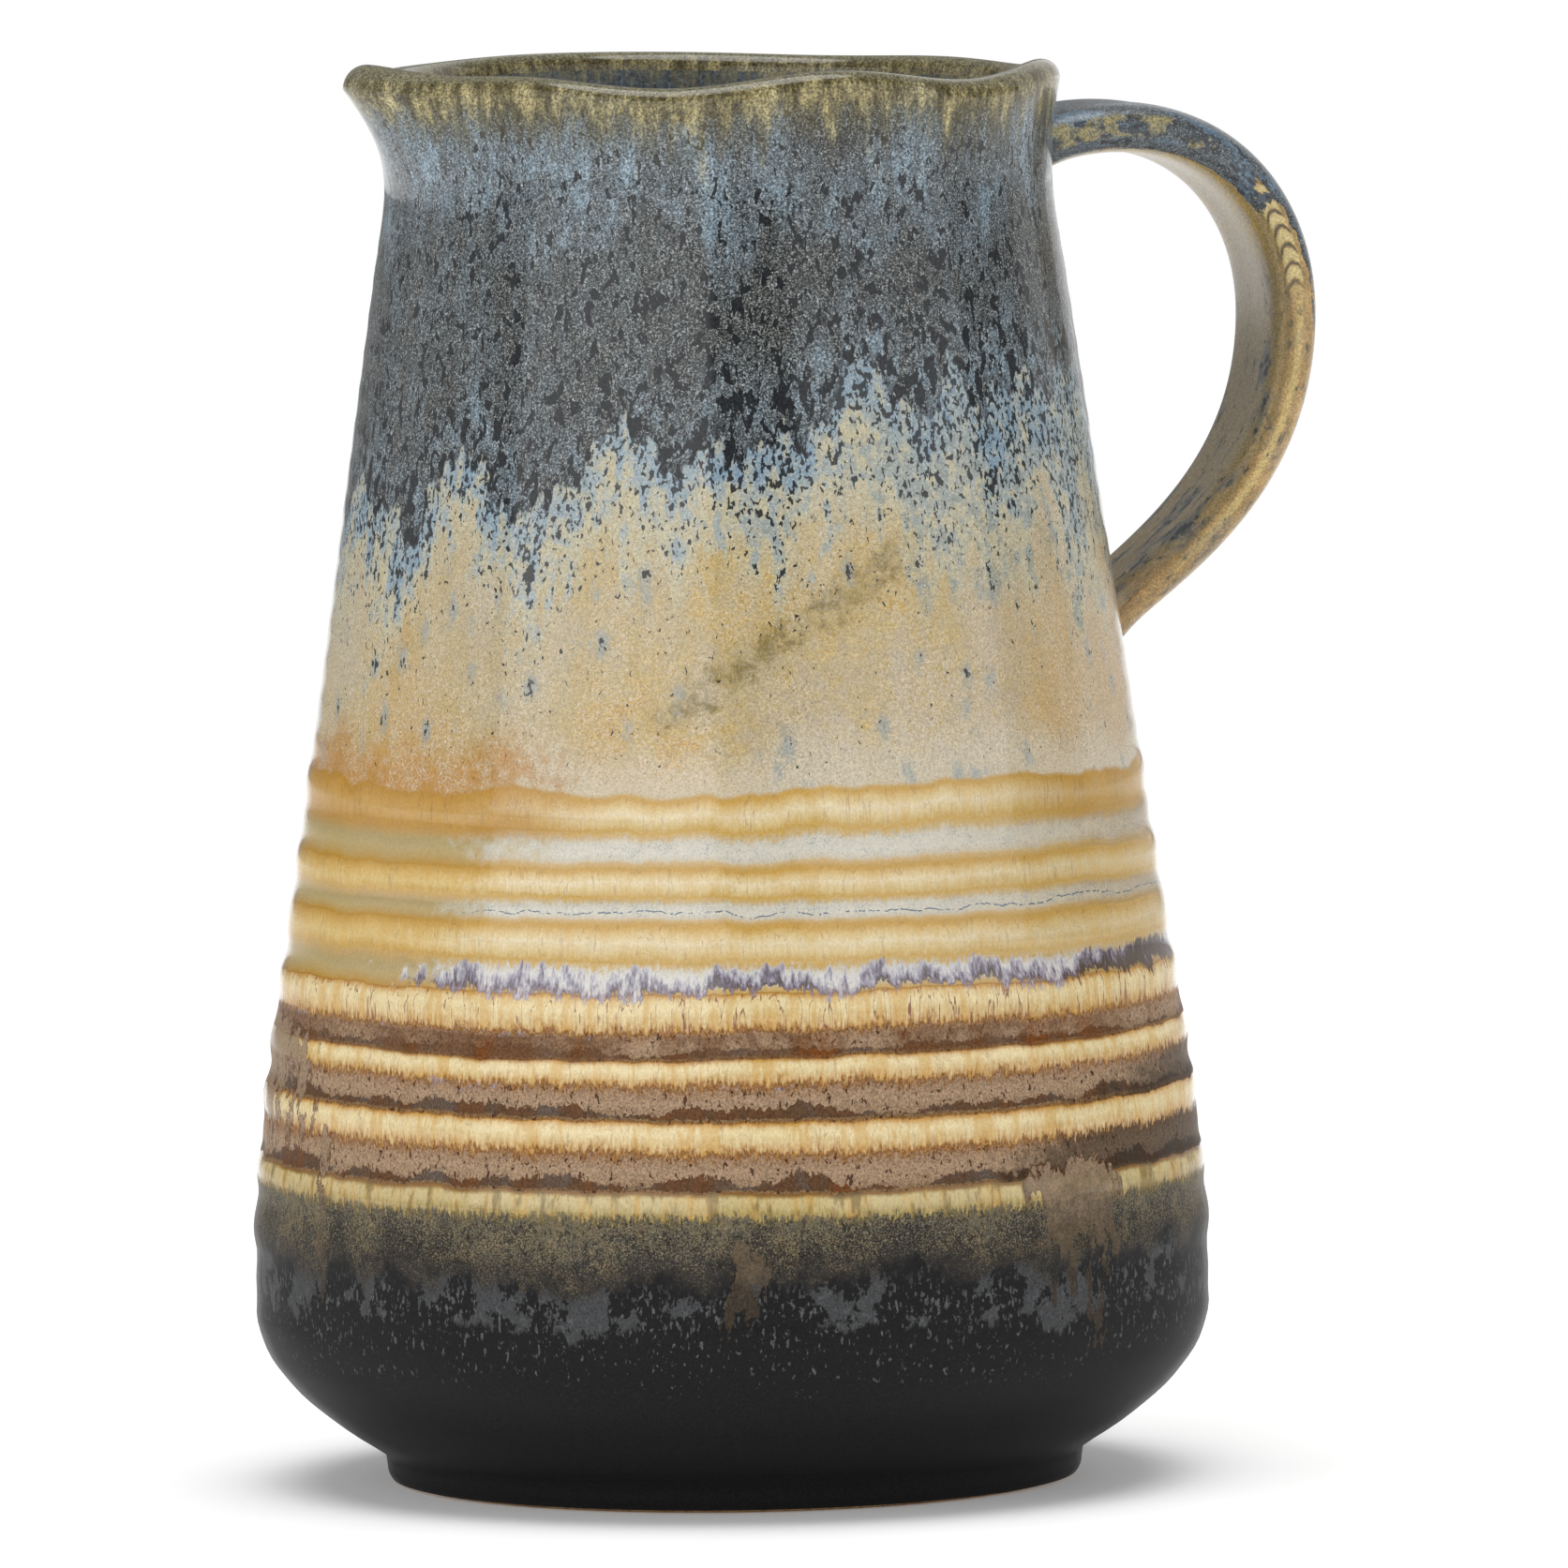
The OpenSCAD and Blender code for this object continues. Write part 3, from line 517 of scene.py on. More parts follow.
# Taupe is matt and specked, and breaks with a crisp ragged edge to plum and rust above each pale stripe.
pale = phase.rise(0.52, 0.62) * (1 - phase.rise(0.98, 1.0)) * stripe.rise(0.5, 0.6)
taupe = swayed.hump(1.03, 3.98, 0.01) * (1 - pale)
colour = (taupe * grain.rise(0.46, 0.72)).over(colour, shade("b6a28b"), 0.5)
colour = (taupe * (1 - grain.rise(0.3, 0.46))).over(colour, shade("5d4838"), 0.45)
colour = (taupe * speck.rise(0.62, 0.66)).over(colour, shade("452e20", 0.03), 0.85)
plum_top = (bulge - 0.34) * 0.75 + (blotch - 0.5) * 0.28 + (hair - 0.5) * 0.16
plum = taupe * phase.rise(0.05, 0.065) * (1 - (phase - plum_top).rise(0.045, 0.06))
plum_colour = run.ramp(
    0.35, 0.68, [(0.35, "5a5049"), (0.5, "57402f"), (0.6, "60402a"), (0.68, "6b4124")], 0.008)
colour = plum.over(colour, plum_colour, 0.95)
# Towards the handle's side the lower taupe bands go near black: this is painted shade.
painted_shade_right = (towards(place, 335) + (mottle - 0.5) * 0.4 - (stripe - 2) * 0.25).rise(0.85, 1.05) * taupe
colour = painted_shade_right.over(colour, shade("39342f", 0.02), 0.7)
rusty = swayed.hump(3.04, 3.42, 0.12) * (mottle * 0.6 + bulge).rise(0.6, 0.95)
rust = run.ramp(0.4, 0.65, [(0.4, "6e5340"), (0.55, "65462f"), (0.65, "6f4324")], 0.01)
colour = rusty.over(colour, rust, 0.85)

# Amber columns and fine brown threads run down over the pale stripes, and olive gaps break the lowest.
banded = stripe.hump(0.6, 6.95, 0.05)
colour = (thread.rise(0.48, 0.62) * pale * banded * ragged).over(colour, shade("c99f5e"), 0.5)
threads = 1 - (thread - 0.47).math("ABSOLUTE", thread - 0.47).rise(0.0, 0.016)
widest = stripe.hump(3.55, 3.95, 0.1)
threads = threads * pale * banded * hair.rise(0.35, 0.5) * (0.35 + widest * 0.65)
colour = threads.over(colour, shade("84552a"), 0.9)
gaps = stripe.hump(0.55, 1.0, 0.05) * (drip * 0.5 + thread * 0.5).rise(0.51, 0.6)
colour = gaps.over(colour, shade("6d6348", 0.03), 0.65)
# A fringe of white and violet hairs lies over the widest pale stripe, and fine specks in the white ones.
# Spills of taupe lie on top, with a dark line round them.
tufts = pale_side + (mottle - 0.5) * 1.4 + (hair - 0.5)
frayed = swayed + (hair - 0.5) * 0.3 + (drip - 0.5) * 0.5 + (run - 0.5) * 0.4
fringe = frayed.hump(4.03, 4.36, 0.05) * tufts.rise(0.3, 0.7)
strand = hair * 0.3 + run * 0.3 + drip * 0.4 + (swayed - 4.2) * 0.3 - far_right * 0.12 - 0.02
hairs = strand.ramp(0.38, 0.6, [
    (0.38, "453436"), (0.43, "6b6379"), (0.48, "a19eac"), (0.53, "cbc9c8"), (0.6, "d6d3cc"),
], 0.04)
colour = fringe.over(colour, hairs, 0.85)
lilac = swayed.hump(1.6, 3.6, 0.02) * phase.hump(0.5, 0.58, 0.05)
lilac = lilac * (bulge + (mottle - 0.5)).rise(0.62, 0.72)
colour = (lilac * hair.rise(0.45, 0.55)).over(colour, shade("9d97a6", 0.03), 0.7)
white = stripe.hump(5.08, 6.45, 0.05) * (1 - phase.rise(0.4, 0.5)) * phase.rise(0.08, 0.14) * pale_side
colour = (white * (grain * 0.7 + mottle * 0.3).rise(0.53, 0.62)).over(colour, shade("8b98a1"), 0.6)
shed = spill + (run - 0.5) * 1.2 + (drip - 0.5) * 1.8 + (island - 0.5) * 1.2 + (speck - 0.5) * 0.5
shed = shed - (1 - spill.rise(0.03, 0.12)) * 2
spilt = shed.rise(0.42, 0.5)
spilt_colour = (level + (mottle - 0.5) * 16).ramp(
    34, 50, [(34, "40382f"), (44, "695b4a"), (50, "8c7761")], 0.006)
colour = (spilt * (0.6 + grain * 0.8)).over(colour, spilt_colour, 0.9)
colour = (shed.hump(0.38, 0.44, 0.04) * level.rise(44, 47)).over(colour, shade("5a4033", 0.02), 0.85)

# Honey glaze above the rings, with golden patches, pale crystals, blue teardrops and a smudge of olive
honey = (patch * 0.45 + mottle * 0.3 + bulge * 0.25).ramp(0.4, 0.6, [
    (0.4, "beb29d"), (0.47, "c0b08f"), (0.53, "c2aa76"), (0.6, "c59f57"),
])
low_band = 1 - (level + (bulge - 0.5) * 14 + (mottle - 0.5) * 6).rise(109, 117)
honey = (towards(place, 195).rise(0.5, 1.0) * (mottle + 0.1)).over(honey, shade("b6b2a4"), 0.6)
# Towards the handle's side the honey is paler, a pinkish beige: a painted sheen.
honey = towards(place, 334).rise(0.6, 1.0).over(honey, shade("c6b4a0"), 0.65)
honey = (low_band * pale_side).over(honey, shade("cdc4b2"), 0.75)
honey = (low_band * (1 - pale_side)).over(honey, shade("b88a4c"), 0.75)
worm = (crystal - 0.5).math("ABSOLUTE", crystal - 0.5)
frost = (1 - worm.rise(0.015, 0.05)) * (mottle * 0.5 + run * 0.5).rise(0.42, 0.56)
honey = frost.over(honey, shade("d8cebe"), 0.7)
honey = (1 - grain.rise(0.34, 0.5)).over(honey, shade("8f7a4c"), 0.4)
fallen = place.stretched(1, 1, 0.5)
tear = fallen.cells(0.22) + (speck - 0.5) * 0.6 + (blotch - 0.5) * 0.4
tears = (1 - tear.rise(0.08, 0.36)) * fallen.cells(0.22, "Color").rise(0.3, 0.35)
honey = tears.over(honey, shade("8f9b9e", 0.05), 0.6)
wiped = (smudge * 0.75 + (mottle - 0.5) * 2.2 + (blotch - 0.5) * 0.8).rise(0.3, 1.2)
wiped = wiped * smudge.rise(0.08, 0.7)
honey = wiped.over(honey, shade("6a654e", 0.04), 0.7)
colour = swayed.rise(6.97, 7.05).over(colour, honey)

# Slate glaze from the rim down to a ragged edge. Below it come pale flames, halos of blue and specks,
# and on the handle's side a blue haze and tongues of blue.
edge = above_edge + (run - 0.5) * 26 + (drip - 0.5) * 12 + (blotch - 0.5) * 7
slate = edge.rise(-0.6, 0.6)
blue_side = (towards(place, 306) + (bulge - 0.5) * 0.5 + (mottle - 0.5) * 0.3).rise(0.5, 1.05)
lowered = edge + blue_side * 13
flame = (lowered * 0.032 + (drip - 0.5) * 0.9 + (bulge - 0.5) * 0.8 + (grain - 0.5) * 0.9).rise(-0.66, -0.3)
blue_flame = (mottle * 0.5 + drip * 0.5 + lowered.rise(-16, 0) * 0.1).rise(0.5, 0.62)
colour = flame.over(colour, blue_flame.over(shade("bdb79f"), shade("97a6ad", 0.06)), 0.85)
haze = (run * 0.4 + drip * 0.45 + mottle * 0.15).rise(0.42, 0.66)
colour = (blue_side * lowered.hump(2, 18, 8) * (haze * 0.8 + 0.2)).over(colour, shade("7f9aae", 0.04), 0.65)
shadow = blue_side * lowered.hump(-14, 6, 8) * (mottle * 0.6 + drip * 0.4).rise(0.46, 0.62)
colour = shadow.over(colour, shade("857f62", 0.04), 0.5)
colour = (edge.hump(-3, 2, 6) * (haze * 0.7 + 0.3)).over(colour, shade("6d8ca6", 0.04), 0.75)
colour = ((flame - slate) * grain.rise(0.52, 0.66)).over(colour, shade("d3d3c4"), 0.6)
slate_colour = grain.ramp(
    0.36, 0.64, [(0.36, "232424"), (0.45, "4b4d4c"), (0.54, "636462"), (0.64, "9a9b9a")], 0.05)
slate_colour = (mottle.rise(0.48, 0.7)).over(slate_colour, shade("3c3b38", 0.02), 0.45)
near_rim = (below_rim + (bulge - 0.5) * 34 + (run - 0.5) * 20).hump(9, 18, 7)
near_edge = 1 - edge.rise(2, 14)
halo = near_edge * above_edge.rise(-2, 6)
tongues = (1 - edge.rise(3, 24)) * towards(place, 296).rise(0.55, 0.95)
# The blue haze is the glaze's own; its extra strength towards the spout's side is a painted sheen.
blue = near_rim * 0.7 + halo * 0.75 + tongues * 0.6 + towards(place, 200).rise(0.5, 1.0) * 0.3 + 0.06
blue = haze * blue + near_rim * 0.12
slate_colour = ((1 - above_edge.rise(-6, 4)) * near_edge).over(slate_colour, shade("2b2e33", 0.0), 0.5)
slate_colour = blue.over(slate_colour, shade("889cab", 0.04), 0.72)
slate_colour = (blue * grain.rise(0.46, 0.62)).over(slate_colour, shade("b4c3ca", 0.05), 0.65)
slate_colour = ((1 - edge.rise(0.3, 3)) * (1 - halo * 0.6)).over(slate_colour, shade("26282b", 0.0), 0.6)
colour = slate.over(colour, slate_colour)
# Ragged black blots lie thicker towards the edge, with a pale line round each.
crowd = near_edge * 0.03 + (1 - edge.rise(5, 50)) * 0.025 - near_rim * 0.03 + 0.02
blots = (blotch + crowd).rise(0.6, 0.615) * slate
lines = (blotch + crowd).hump(0.57, 0.59, 0.01) * slate
colour = (lines * grain.rise(0.42, 0.55)).over(colour, shade("a3a8a8", 0.04), 0.6)
speck_edge = edge + blue_side * 8
fading = speck_edge.rise(-34, 0) * 0.105 + speck_edge.rise(-14, 0) * 0.06
fading = fading + (drip - 0.5) * 0.22 + tears * 0.15
specks = (speck + fading).rise(0.7, 0.72) * stripe.rise(6.95, 7.4) * (1 - slate)
dark = blots + specks + (speck - near_rim * 0.03).rise(0.615, 0.63) * slate
colour = dark.math("MINIMUM", dark, 1.0).over(colour, shade("181b1f", 0.0), 0.95)

# Rim: the slate breaks to olive, and to yellow-cream spots where the glaze runs thin below the lip.
worn = (thread - 0.5) * 16 + (hair - 0.5) * 6
olive_rim = 1 - (below_rim - worn).rise(3, 12)
colour = (olive_rim * (0.3 + grain)).over(colour, shade("6b6447", 0.03), 0.8)
off = below_rim - 2.8 - (thread - 0.5) * 8
spots = (drip * 0.55 + thread * 0.25 + hair * 0.2 - off.math("ABSOLUTE", off) * 0.03).rise(0.38, 0.62)
colour = (below_rim.hump(1.0, 3.8, 1.2) * (1 - spots)).over(colour, shade("4b4229", 0.02), 0.55)
streaks = below_rim.hump(4, 13, 4) * (thread * 0.5 + drip * 0.5).rise(0.55, 0.68)
streaks = streaks * towards(place, 292).rise(0.2, 0.8)
colour = streaks.over(colour, shade("b9b08a", 0.05), 0.6)
colour = (spots * (0.35 + grain * 0.8)).over(colour, shade("cfc192"), 0.75)
# A light grey line along the top of the lip is a painted highlight.
colour = (1 - below_rim.rise(0.2, 1.3)).over(colour, shade("7b7865", 0.03), 0.8)

# Taupe, spills and the black foot are matt, the slate is satin and the rest is glassy. A sandy grain goes
# over it all and is strongest on the slate.
matt = taupe + (1 - stripe.rise(0.55, 0.7)) * 0.92 + spilt * 0.5
matt = matt.math("MINIMUM", matt, 1.0)
colour = sand.grained(colour, 0.07 + matt * 0.2 + stripe.rise(6.9, 7.4) * 0.09 + slate * 0.4)
gloss = 1 - matt * 0.94 - slate * 0.3
turned_away = gloss.node("ShaderNodeLayerWeight", {}, {"Blend": 0.5}, "Facing")
gloss = gloss * (1 - turned_away.rise(0.3, 0.62) * (1 - turned_away.rise(0.8, 0.92)) * (0.9 - slate * 0.6))
rough = matt * 0.25 + slate * 0.08 + grain * 0.1 + 0.22
relief = grain * 0.2 + pale * 0.5 + (1 - blots) * 0.25 + islands * 0.2 - plum * 0.3
coat(shader, colour, rough, relief, 0.12, gloss)
wall.data.materials.append(glaze)
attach(wall, "root")
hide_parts("body", "neck", "base_glaze", "band_glaze", "honey_glaze", "blue_glaze", "rim_glaze")


# Lining: the same slate glaze poured inside the jug and out again, thinner and running in yellowish
# streaks below the lip. It covers the inner wall, the rounded bottom and the level floor.
FLOOR_Z, FLOOR_R, JOINT_Z = 10.4, 47.0, 178.0
neck_fall = np.linspace(0, 1, 18)[:, None]
inner_neck_z = lip_z + (JOINT_Z - lip_z) * neck_fall
inner_neck_r = neck_r(inner_neck_z, turn) - 2 * lip_round - (WALL_T + 2 * COAT - 2 * lip_round) * neck_fall
inner_z = np.concatenate([np.arange(JOINT_Z - 3, BELLY_Z, -4.0), np.linspace(BELLY_Z, FLOOR_Z + 0.05, 22)])
belly_in = BELLY_R - COAT - WALL_T
bowl = belly_in - (belly_in - FLOOR_R) * np.maximum(0, (BELLY_Z - inner_z) / (BELLY_Z - FLOOR_Z)) ** 2
inner_r = np.where(inner_z < BELLY_Z, bowl, wall_r(inner_z) - COAT - WALL_T) - COAT
inner_z = inner_z + COAT * np.maximum(0, (BELLY_Z - inner_z) / (BELLY_Z - FLOOR_Z))
floor_in = np.array([46.0, 43, 36, 26, 16, 8])


def all_round(neck, *below):
    """Rows of the lining: those of the neck, then rows that are the same in every column."""
    return np.concatenate([neck, np.repeat(np.concatenate(below)[:, None], COLUMNS, 1)])


lining = skin(
    "lining",
    turned(
        all_round(inner_neck_r, inner_r, floor_in),
        all_round(inner_neck_z, inner_z, np.full(len(floor_in), FLOOR_Z + COAT)),
        turn),
    {"below_rim": all_round(rim_top(turn) - inner_neck_z, RIM_Z - inner_z, np.full(len(floor_in), RIM_Z))},
    last_end=(0, 0, FLOOR_Z + COAT),
)
lining_glaze, shader, place = new_finish("lining_glaze")
below_rim = mark(place, "below_rim")
grain = place.cloud(1.5, 5.0, 0.7)
run = place.stretched(1, 1, 0.16).cloud(0.2, 4.0, 0.6)
hair = place.stretched(1, 1, 0.1).cloud(0.9, 3.0, 0.6)
speck = place.stretched(1, 1, 0.5).cells(0.7)
colour = grain.ramp(0.25, 0.75, [(0.25, "34383b"), (0.45, "5b6063"), (0.6, "70777b"), (0.75, "919a9f")])
colour = (run.rise(0.5, 0.66) * (1 - below_rim.rise(6, 60))).over(colour, shade("a39a76"), 0.7)
colour = run.hump(0.38, 0.44, 0.06).over(colour, shade("6f7a80"), 0.35)
colour = (1 - speck.rise(0.1, 0.2)).over(colour, shade("252527"), 0.85)
colour = ((1 - below_rim.rise(1.5, 6)) * hair.rise(0.4, 0.62)).over(colour, shade("a89d72"), 0.5)
colour = place.cloud(2.7, 2.0, 0.6).grained(colour, 0.35)
coat(shader, colour, grain * 0.1 + 0.2, grain, 0.08)
lining.data.materials.append(lining_glaze)
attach(lining, "root")
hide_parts("liner_glaze")


# Strap handle: a flat strap of clay pulled by hand, with a groove along each face, pressed onto the
# neck and the wall with slip. Its glaze is slate blue over the top and runs off to amber below.
ROOT_Z, TAIL_Z, ELBOW_R, ELBOW_Z = 197.1, 125.6, 88.7, 170.3
ROOT_TILT, TAIL_TILT = np.radians(15), np.radians(41)
ROOT_PULL, RISE_PULL, DROP_PULL, TAIL_PULL = 25.0, 18.5, 26.0, 12.0
STRAP_W, ROOT_W, STRAP_T, TAIL_T = 19.0, 21.0, 7.2, 6.0
GROOVE_H, STRAP_ROUND = 0.5, 0.72
STRAP_SIDES, STRAP_ROWS, SUNK = 96, 56, 2.5
# The strap swells by this share where it meets the wall, over this length
END_SWELL, END_REACH = 0.1, 4.0
# A finger's groove along the inner side of each edge: where it lies round the section, depth and width,
# and how far it presses outwards and sideways
EDGE_GROOVE, EDGE_GROOVE_H, EDGE_GROOVE_W = np.radians(24), 0.3, np.radians(12)
PINCH_OUT, PINCH_IN = 0.6, 0.8


def bend(points, u):
    """Points on a cubic curve given by its four control points, and the unit ways along it."""
    a, b, c, d = (np.array(p, float) for p in points)
    u = u[:, None]
    at = (1 - u) ** 3 * a + 3 * u * (1 - u) ** 2 * b + 3 * u * u * (1 - u) * c + u ** 3 * d
    way = (1 - u) ** 2 * (b - a) + 2 * u * (1 - u) * (c - b) + u * u * (d - c)
    return at, way / np.linalg.norm(way, axis=1, keepdims=True)


root_way = np.array([np.cos(ROOT_TILT), np.sin(ROOT_TILT)])
tail_way = np.array([np.cos(TAIL_TILT), np.sin(TAIL_TILT)])
root = np.array([float(wall_r(np.array(ROOT_Z))), ROOT_Z])
tail = np.array([float(wall_r(np.array(TAIL_Z))), TAIL_Z])
elbow = np.array([ELBOW_R, ELBOW_Z])
up = np.array([0, 1.0])
share = np.linspace(0, 1, STRAP_ROWS)
upper_at, upper_way = bend([root, root + ROOT_PULL * root_way, elbow + RISE_PULL * up, elbow], share)
lower_at, lower_way = bend([elbow, elbow - DROP_PULL * up, tail + TAIL_PULL * tail_way, tail], share)
strap_at = np.concatenate([[root - SUNK * root_way], upper_at, lower_at[1:], [tail - SUNK * tail_way]])
strap_way = np.concatenate([[root_way], upper_way, lower_way[1:], [-tail_way]])
strap_along = np.concatenate([[0], np.cumsum(np.linalg.norm(np.diff(strap_at, axis=0), axis=1))])
strap_reach = strap_along[-1]
from_ends = np.minimum(strap_along, strap_reach - strap_along)
flare = 1 + END_SWELL * np.exp(-(from_ends / END_REACH) ** 2)
rows = np.arange(len(strap_at))
half_w = np.interp(rows, [0, STRAP_ROWS, len(rows) - 1], [ROOT_W, STRAP_W, STRAP_W]) / 2 * flare + COAT
half_t = np.interp(rows, [0, STRAP_ROWS, len(rows) - 1], [STRAP_T, STRAP_T, TAIL_T]) / 2 * flare + COAT
angle = np.linspace(0, 2 * np.pi, STRAP_SIDES, endpoint=False)
across = np.sign(np.cos(angle)) * np.abs(np.cos(angle)) ** STRAP_ROUND
through = np.sign(np.sin(angle)) * np.abs(np.sin(angle)) ** STRAP_ROUND
groove = GROOVE_H * np.cos(np.pi / 2 * across) ** 2
below = np.minimum(np.abs(angle - np.pi - EDGE_GROOVE), np.abs(angle - 2 * np.pi + EDGE_GROOVE))
pinch = EDGE_GROOVE_H * np.exp(-(below / EDGE_GROOVE_W) ** 2)
off = (half_t[:, None] - groove) * through + PINCH_OUT * pinch
strap_points = np.stack([
    strap_at[:, 0, None] - strap_way[:, 1, None] * off,
    half_w[:, None] * across - PINCH_IN * pinch * np.sign(across),
    strap_at[:, 1, None] + strap_way[:, 0, None] * off,
], -1)
strap = skin(
    "strap_handle", strap_points,
    {"along": strap_along[:, None], "across": across, "outer": through},
    (strap_at[0, 0], 0, strap_at[0, 1]), (strap_at[-1, 0], 0, strap_at[-1, 1]),
)

strap_glaze, shader, place = new_finish("strap_glaze")
shader.inputs["Specular IOR Level"].default_value = 0.3
shader.inputs["Coat Roughness"].default_value = 0.25
along, across, outer = (mark(place, name) for name in ("along", "across", "outer"))
# Places on the strap in mm: along it, across it and through it
drawn = along.node("ShaderNodeCombineXYZ", {}, {0: along, 1: across * 10, 2: outer * 4.5})
grain = place.cloud(4.2, 2.0, 0.7)
mottle = drawn.cloud(0.28, 4.0, 0.6)
smear = drawn.stretched(0.3, 1, 1).cloud(0.32, 4.0, 0.6)
fleck = drawn.stretched(0.6, 1, 1).cloud(0.9, 2.0, 0.5, 0.5)
# Waves along the strap that bow up over its ridge, for the scallops
lobe = outer + 0.14
wave = along.math("SINE", along * 2.2 - lobe * lobe * 32 + (mottle - 0.5) * 4)

# Amber on the outside and the edges, beige inside, with an olive groove and smears of blue
colour = (mottle * 0.6 + grain * 0.4).ramp(
    0.38, 0.62, [(0.38, "9c8154"), (0.5, "b49562"), (0.62, "c4a676")], 0.03)
colour = fleck.rise(0.48, 0.62).over(colour, shade("86734f", 0.02), 0.4)
colour = (1 - fleck.rise(0.36, 0.46)).over(colour, shade("c6a06a", 0.03), 0.45)
inner = 1 - outer.rise(-0.95, -0.45)
beige = (along + (mottle - 0.5) * 30).ramp(20, 130, [(20, "b0a58e"), (70, "ab9f88"), (130, "aa9d82")], 0.03)
colour = inner.over(colour, beige, 0.9)
colour = (1 - grain.rise(0.36, 0.52)).over(colour, shade("6f6653", 0.02), 0.4)
colour = (outer.hump(-0.8, -0.4, 0.15) * (0.3 + mottle)).over(colour, shade("7d7150", 0.03), 0.6)
ruddy = along.rise(90, 135) * (1 - inner) * mottle.rise(0.46, 0.62)
colour = ruddy.over(colour, shade("b0793f", 0.03), 0.6)
# A cream line along the ridge of each edge, lower on the strap, is a painted highlight.
crest_highlight = outer.hump(-0.12, 0.02, 0.14) * along.hump(62, 96, 12)
colour = (crest_highlight * (0.4 + grain * 0.7)).over(colour, shade("d8c58e"), 0.7)
smudged = along.rise(40, 70) * (inner * 0.6 + 0.4)
# Olive-brown mottling darkens the strap towards its lower end.
darker_low_end = along.rise(80, 120) * (mottle * 0.6 + smear * 0.4).rise(0.4, 0.56)
colour = darker_low_end.over(colour, shade("75654a", 0.02), 0.6)
colour = (smear.rise(0.5, 0.62) * smudged).over(colour, shade("66727b", 0.03), 0.75)
colour = ((smear * 0.6 + fleck * 0.4 + along.rise(95, 130) * 0.03).rise(0.56, 0.61) * smudged).over(
    colour, shade("2c3238", 0.0), 0.85)
colour = (fleck.rise(0.66, 0.7) * along.rise(40, 70)).over(colour, shade("353a3c", 0.0), 0.7)

# Slate blue over the top, furthest down the outer side and ending in a dark drip
bound = 39.5 + outer.rise(0.12, 0.5) * 15 - (1 - outer.rise(-0.97, -0.55)) * 48
bound = bound + (mottle - 0.5) * 22 + (fleck - 0.5) * 10 + outer.rise(0.3, 0.6) * (smear - 0.5) * 70
dark = (bound - along).rise(-0.7, 0.7)
slate_colour = grain.ramp(
    0.34, 0.66, [(0.34, "2b2f33"), (0.46, "52575b"), (0.56, "666c70"), (0.66, "91979a")], 0.03)
slate_colour = smear.rise(0.5, 0.62).over(slate_colour, shade("6c8599", 0.04), 0.6)
slate_colour = (1 - (bound - along).rise(0, 6)).over(slate_colour, shade("262b31", 0.0), 0.65)
slate_colour = fleck.rise(0.58, 0.62).over(slate_colour, shade("202327", 0.0), 0.85)
colour = dark.over(colour, slate_colour)
# Cream breaks through in blotches near the neck, and below the drip in scallops along the ridge.
blotches = mottle + (fleck - 0.5) * 0.3 + 0.07 - along.rise(16, 36) * 0.22
ridge = outer.hump(-0.2, 0.4, 0.2)
colour = (blotches.rise(0.52, 0.68) * ridge * dark).over(colour, shade("b0a57c"), 0.8)
colour = (blotches.hump(0.5, 0.54, 0.03) * ridge * dark).over(colour, shade("25282a", 0.0), 0.7)
scallop = outer.hump(-0.38, 0.1, 0.12) * along.hump(39, 53, 3) * (1 - dark)
colour = (scallop * wave.rise(-0.8, 0.2)).over(colour, shade("cfbf8c", 0.05), 0.85)
colour = (scallop * (1 - wave.rise(-0.96, -0.6))).over(colour, shade("33352f", 0.0), 0.8)
under = outer.hump(-0.95, -0.75, 0.1) * (1 - along.rise(40, 55))
colour = (under * (mottle + grain * 0.4).rise(0.55, 0.75)).over(colour, shade("c0a566"), 0.7)
colour = place.cloud(2.7, 2.0, 0.6).grained(colour, dark * 0.2 + 0.22)
gloss = grain * 0.2 + 0.45
coat(shader, colour, grain * 0.1 + 0.34, grain, 0.06, gloss)
strap.data.materials.append(strap_glaze)
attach(strap, "root")
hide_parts("handle", "handle_glaze", "upper_handle_slip", "lower_handle_slip")


# Studio: a plain white floor in soft light, from broad panels on both sides and a soft light overhead.
FLOOR_REACH = 3.2
corners = np.array([(-1, -1, 0), (1, -1, 0), (1, 1, 0), (-1, 1, 0)]) * FLOOR_REACH
floor_mesh = bpy.data.meshes.new("studio_floor")
floor_mesh.from_pydata(corners, [], [(0, 1, 2, 3)])
floor = bpy.data.objects.new("studio_floor", floor_mesh)
bpy.context.scene.collection.objects.link(floor)
paper, shader, place = new_finish("floor_paper")
fibre = place.cloud(0.02, 2.0)
shader.inputs["Emission Color"].default_value = (1, 1, 1, 1)
shader.inputs["Emission Strength"].default_value = 0.12
coat(shader, fibre.ramp(0.3, 0.7, [(0.3, "fafafa"), (0.7, "fcfcfc")], 0.0), fibre * 0.1 + 0.6, fibre, 0.01)
floor_mesh.materials.append(paper)

world = bpy.data.worlds.new("studio")
world.use_nodes = True
bpy.context.scene.world = world
sky = world.node_tree
# The sky looks white to the camera, and lights the jug with a quarter of that.
dim = Paint(sky, sky.nodes.new("ShaderNodeLightPath").outputs["Is Camera Ray"])
sky.links.new((dim * 0.75 + 0.25).socket, sky.nodes["Background"].inputs["Strength"])
sky.nodes["Background"].inputs["Color"].default_value = (1, 1, 1, 1)


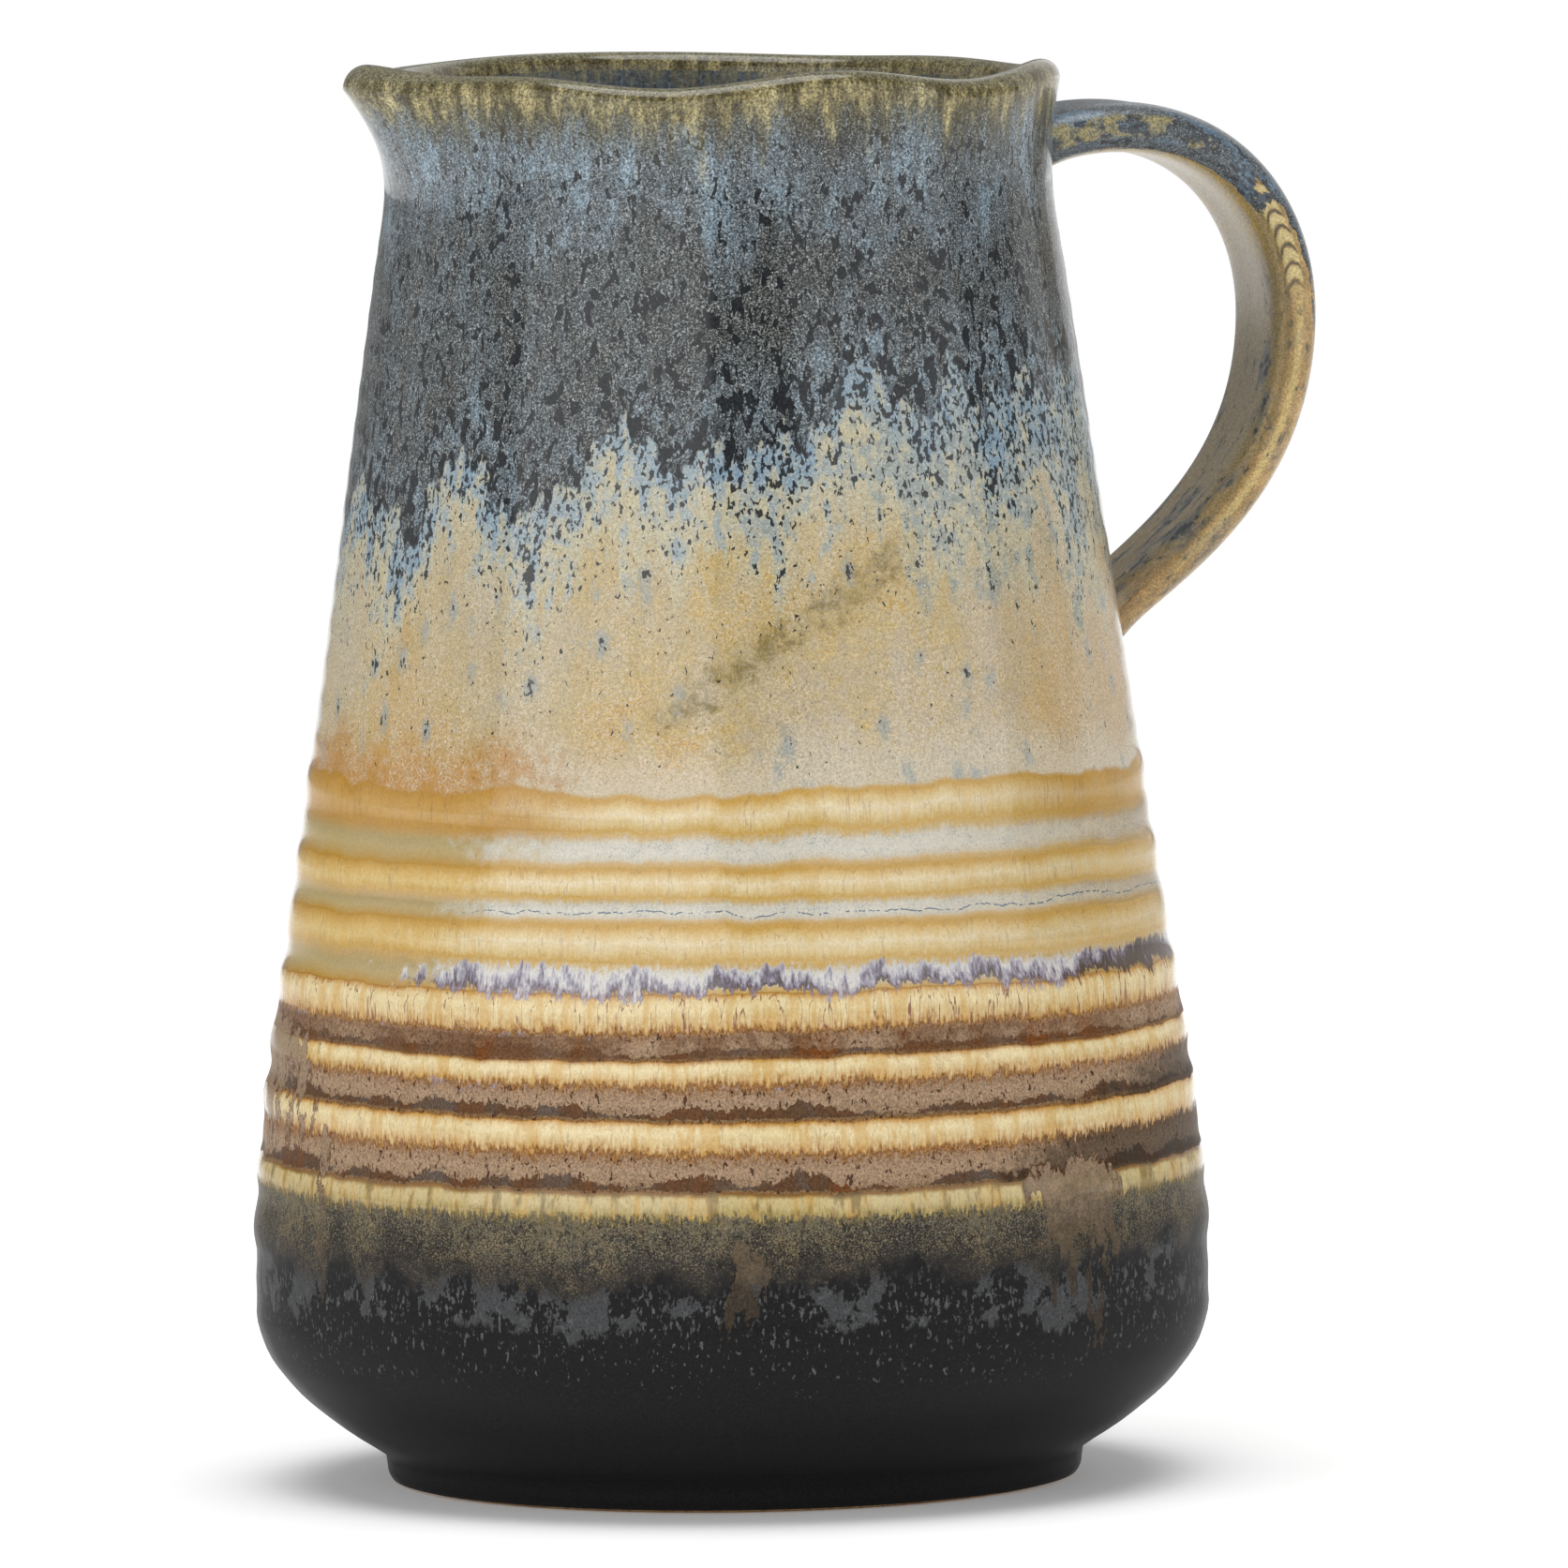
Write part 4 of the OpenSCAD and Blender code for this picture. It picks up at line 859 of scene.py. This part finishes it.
# All panels stand equally far off, equally high and equally tall, in m, and face the middle of the jug.
PANEL_BACK, PANEL_Z, PANEL_TALL = 1.5, 0.62, 1.1
PANEL_AIM = Vector((0, 0, 0.1))


def soft_panel(name, turn_degrees, width, watts):
    """A rectangular soft light that faces the jug from a turn about its axis."""
    way = np.radians(turn_degrees)
    light = bpy.data.lights.new(name, "AREA")
    light.shape, light.size, light.size_y, light.energy = "RECTANGLE", width, PANEL_TALL, watts
    lamp = bpy.data.objects.new(name, light)
    lamp.location = (PANEL_BACK * np.cos(way), PANEL_BACK * np.sin(way), PANEL_Z)
    lamp.rotation_euler = (PANEL_AIM - lamp.location).to_track_quat("-Z", "Y").to_euler()
    lamp.visible_camera = False
    bpy.context.scene.collection.objects.link(lamp)


soft_panel("front_left_panel", 214, 1.9, 9.4)
soft_panel("far_left_panel", 150, 1.7, 2.5)
soft_panel("front_right_panel", 303.5, 1.84, 5.3)
soft_panel("far_right_panel", 36, 1.7, 4.2)
overhead = bpy.data.lights.new("overhead", "SUN")
overhead.energy, overhead.angle = 2.3, np.radians(50)
bpy.context.scene.collection.objects.link(bpy.data.objects.new("overhead", overhead))

# Camera: far back with a long lens and tipped down a little, with the spout on the left of the picture and
# the handle on the right.
AIM = Vector((0, 0, 0.105))
ASIDE, BELOW = 0.0086, 0.0021
BACK, LENS = 3.25, 504.0
swing, dip, roll = np.radians(-21), np.radians(4.7), np.radians(0.72)
forward = Vector((-np.sin(swing) * np.cos(dip), np.cos(swing) * np.cos(dip), -np.sin(dip)))
level_right = Vector((np.cos(swing), np.sin(swing), 0))
level_up = level_right.cross(forward)
right = level_right * np.cos(roll) - level_up * np.sin(roll)
top = level_up * np.cos(roll) + level_right * np.sin(roll)
eye = AIM + right * ASIDE - top * BELOW - forward * BACK
lens = bpy.data.cameras.new("camera")
lens.lens, lens.sensor_width, lens.sensor_fit = LENS, 36.0, "AUTO"
camera = bpy.data.objects.new("camera", lens)
camera.matrix_world = Matrix((right, top, -forward)).transposed().to_4x4()
camera.location = eye
bpy.context.scene.collection.objects.link(camera)
bpy.context.scene.camera = camera
bpy.context.scene.view_settings.view_transform = "Standard"
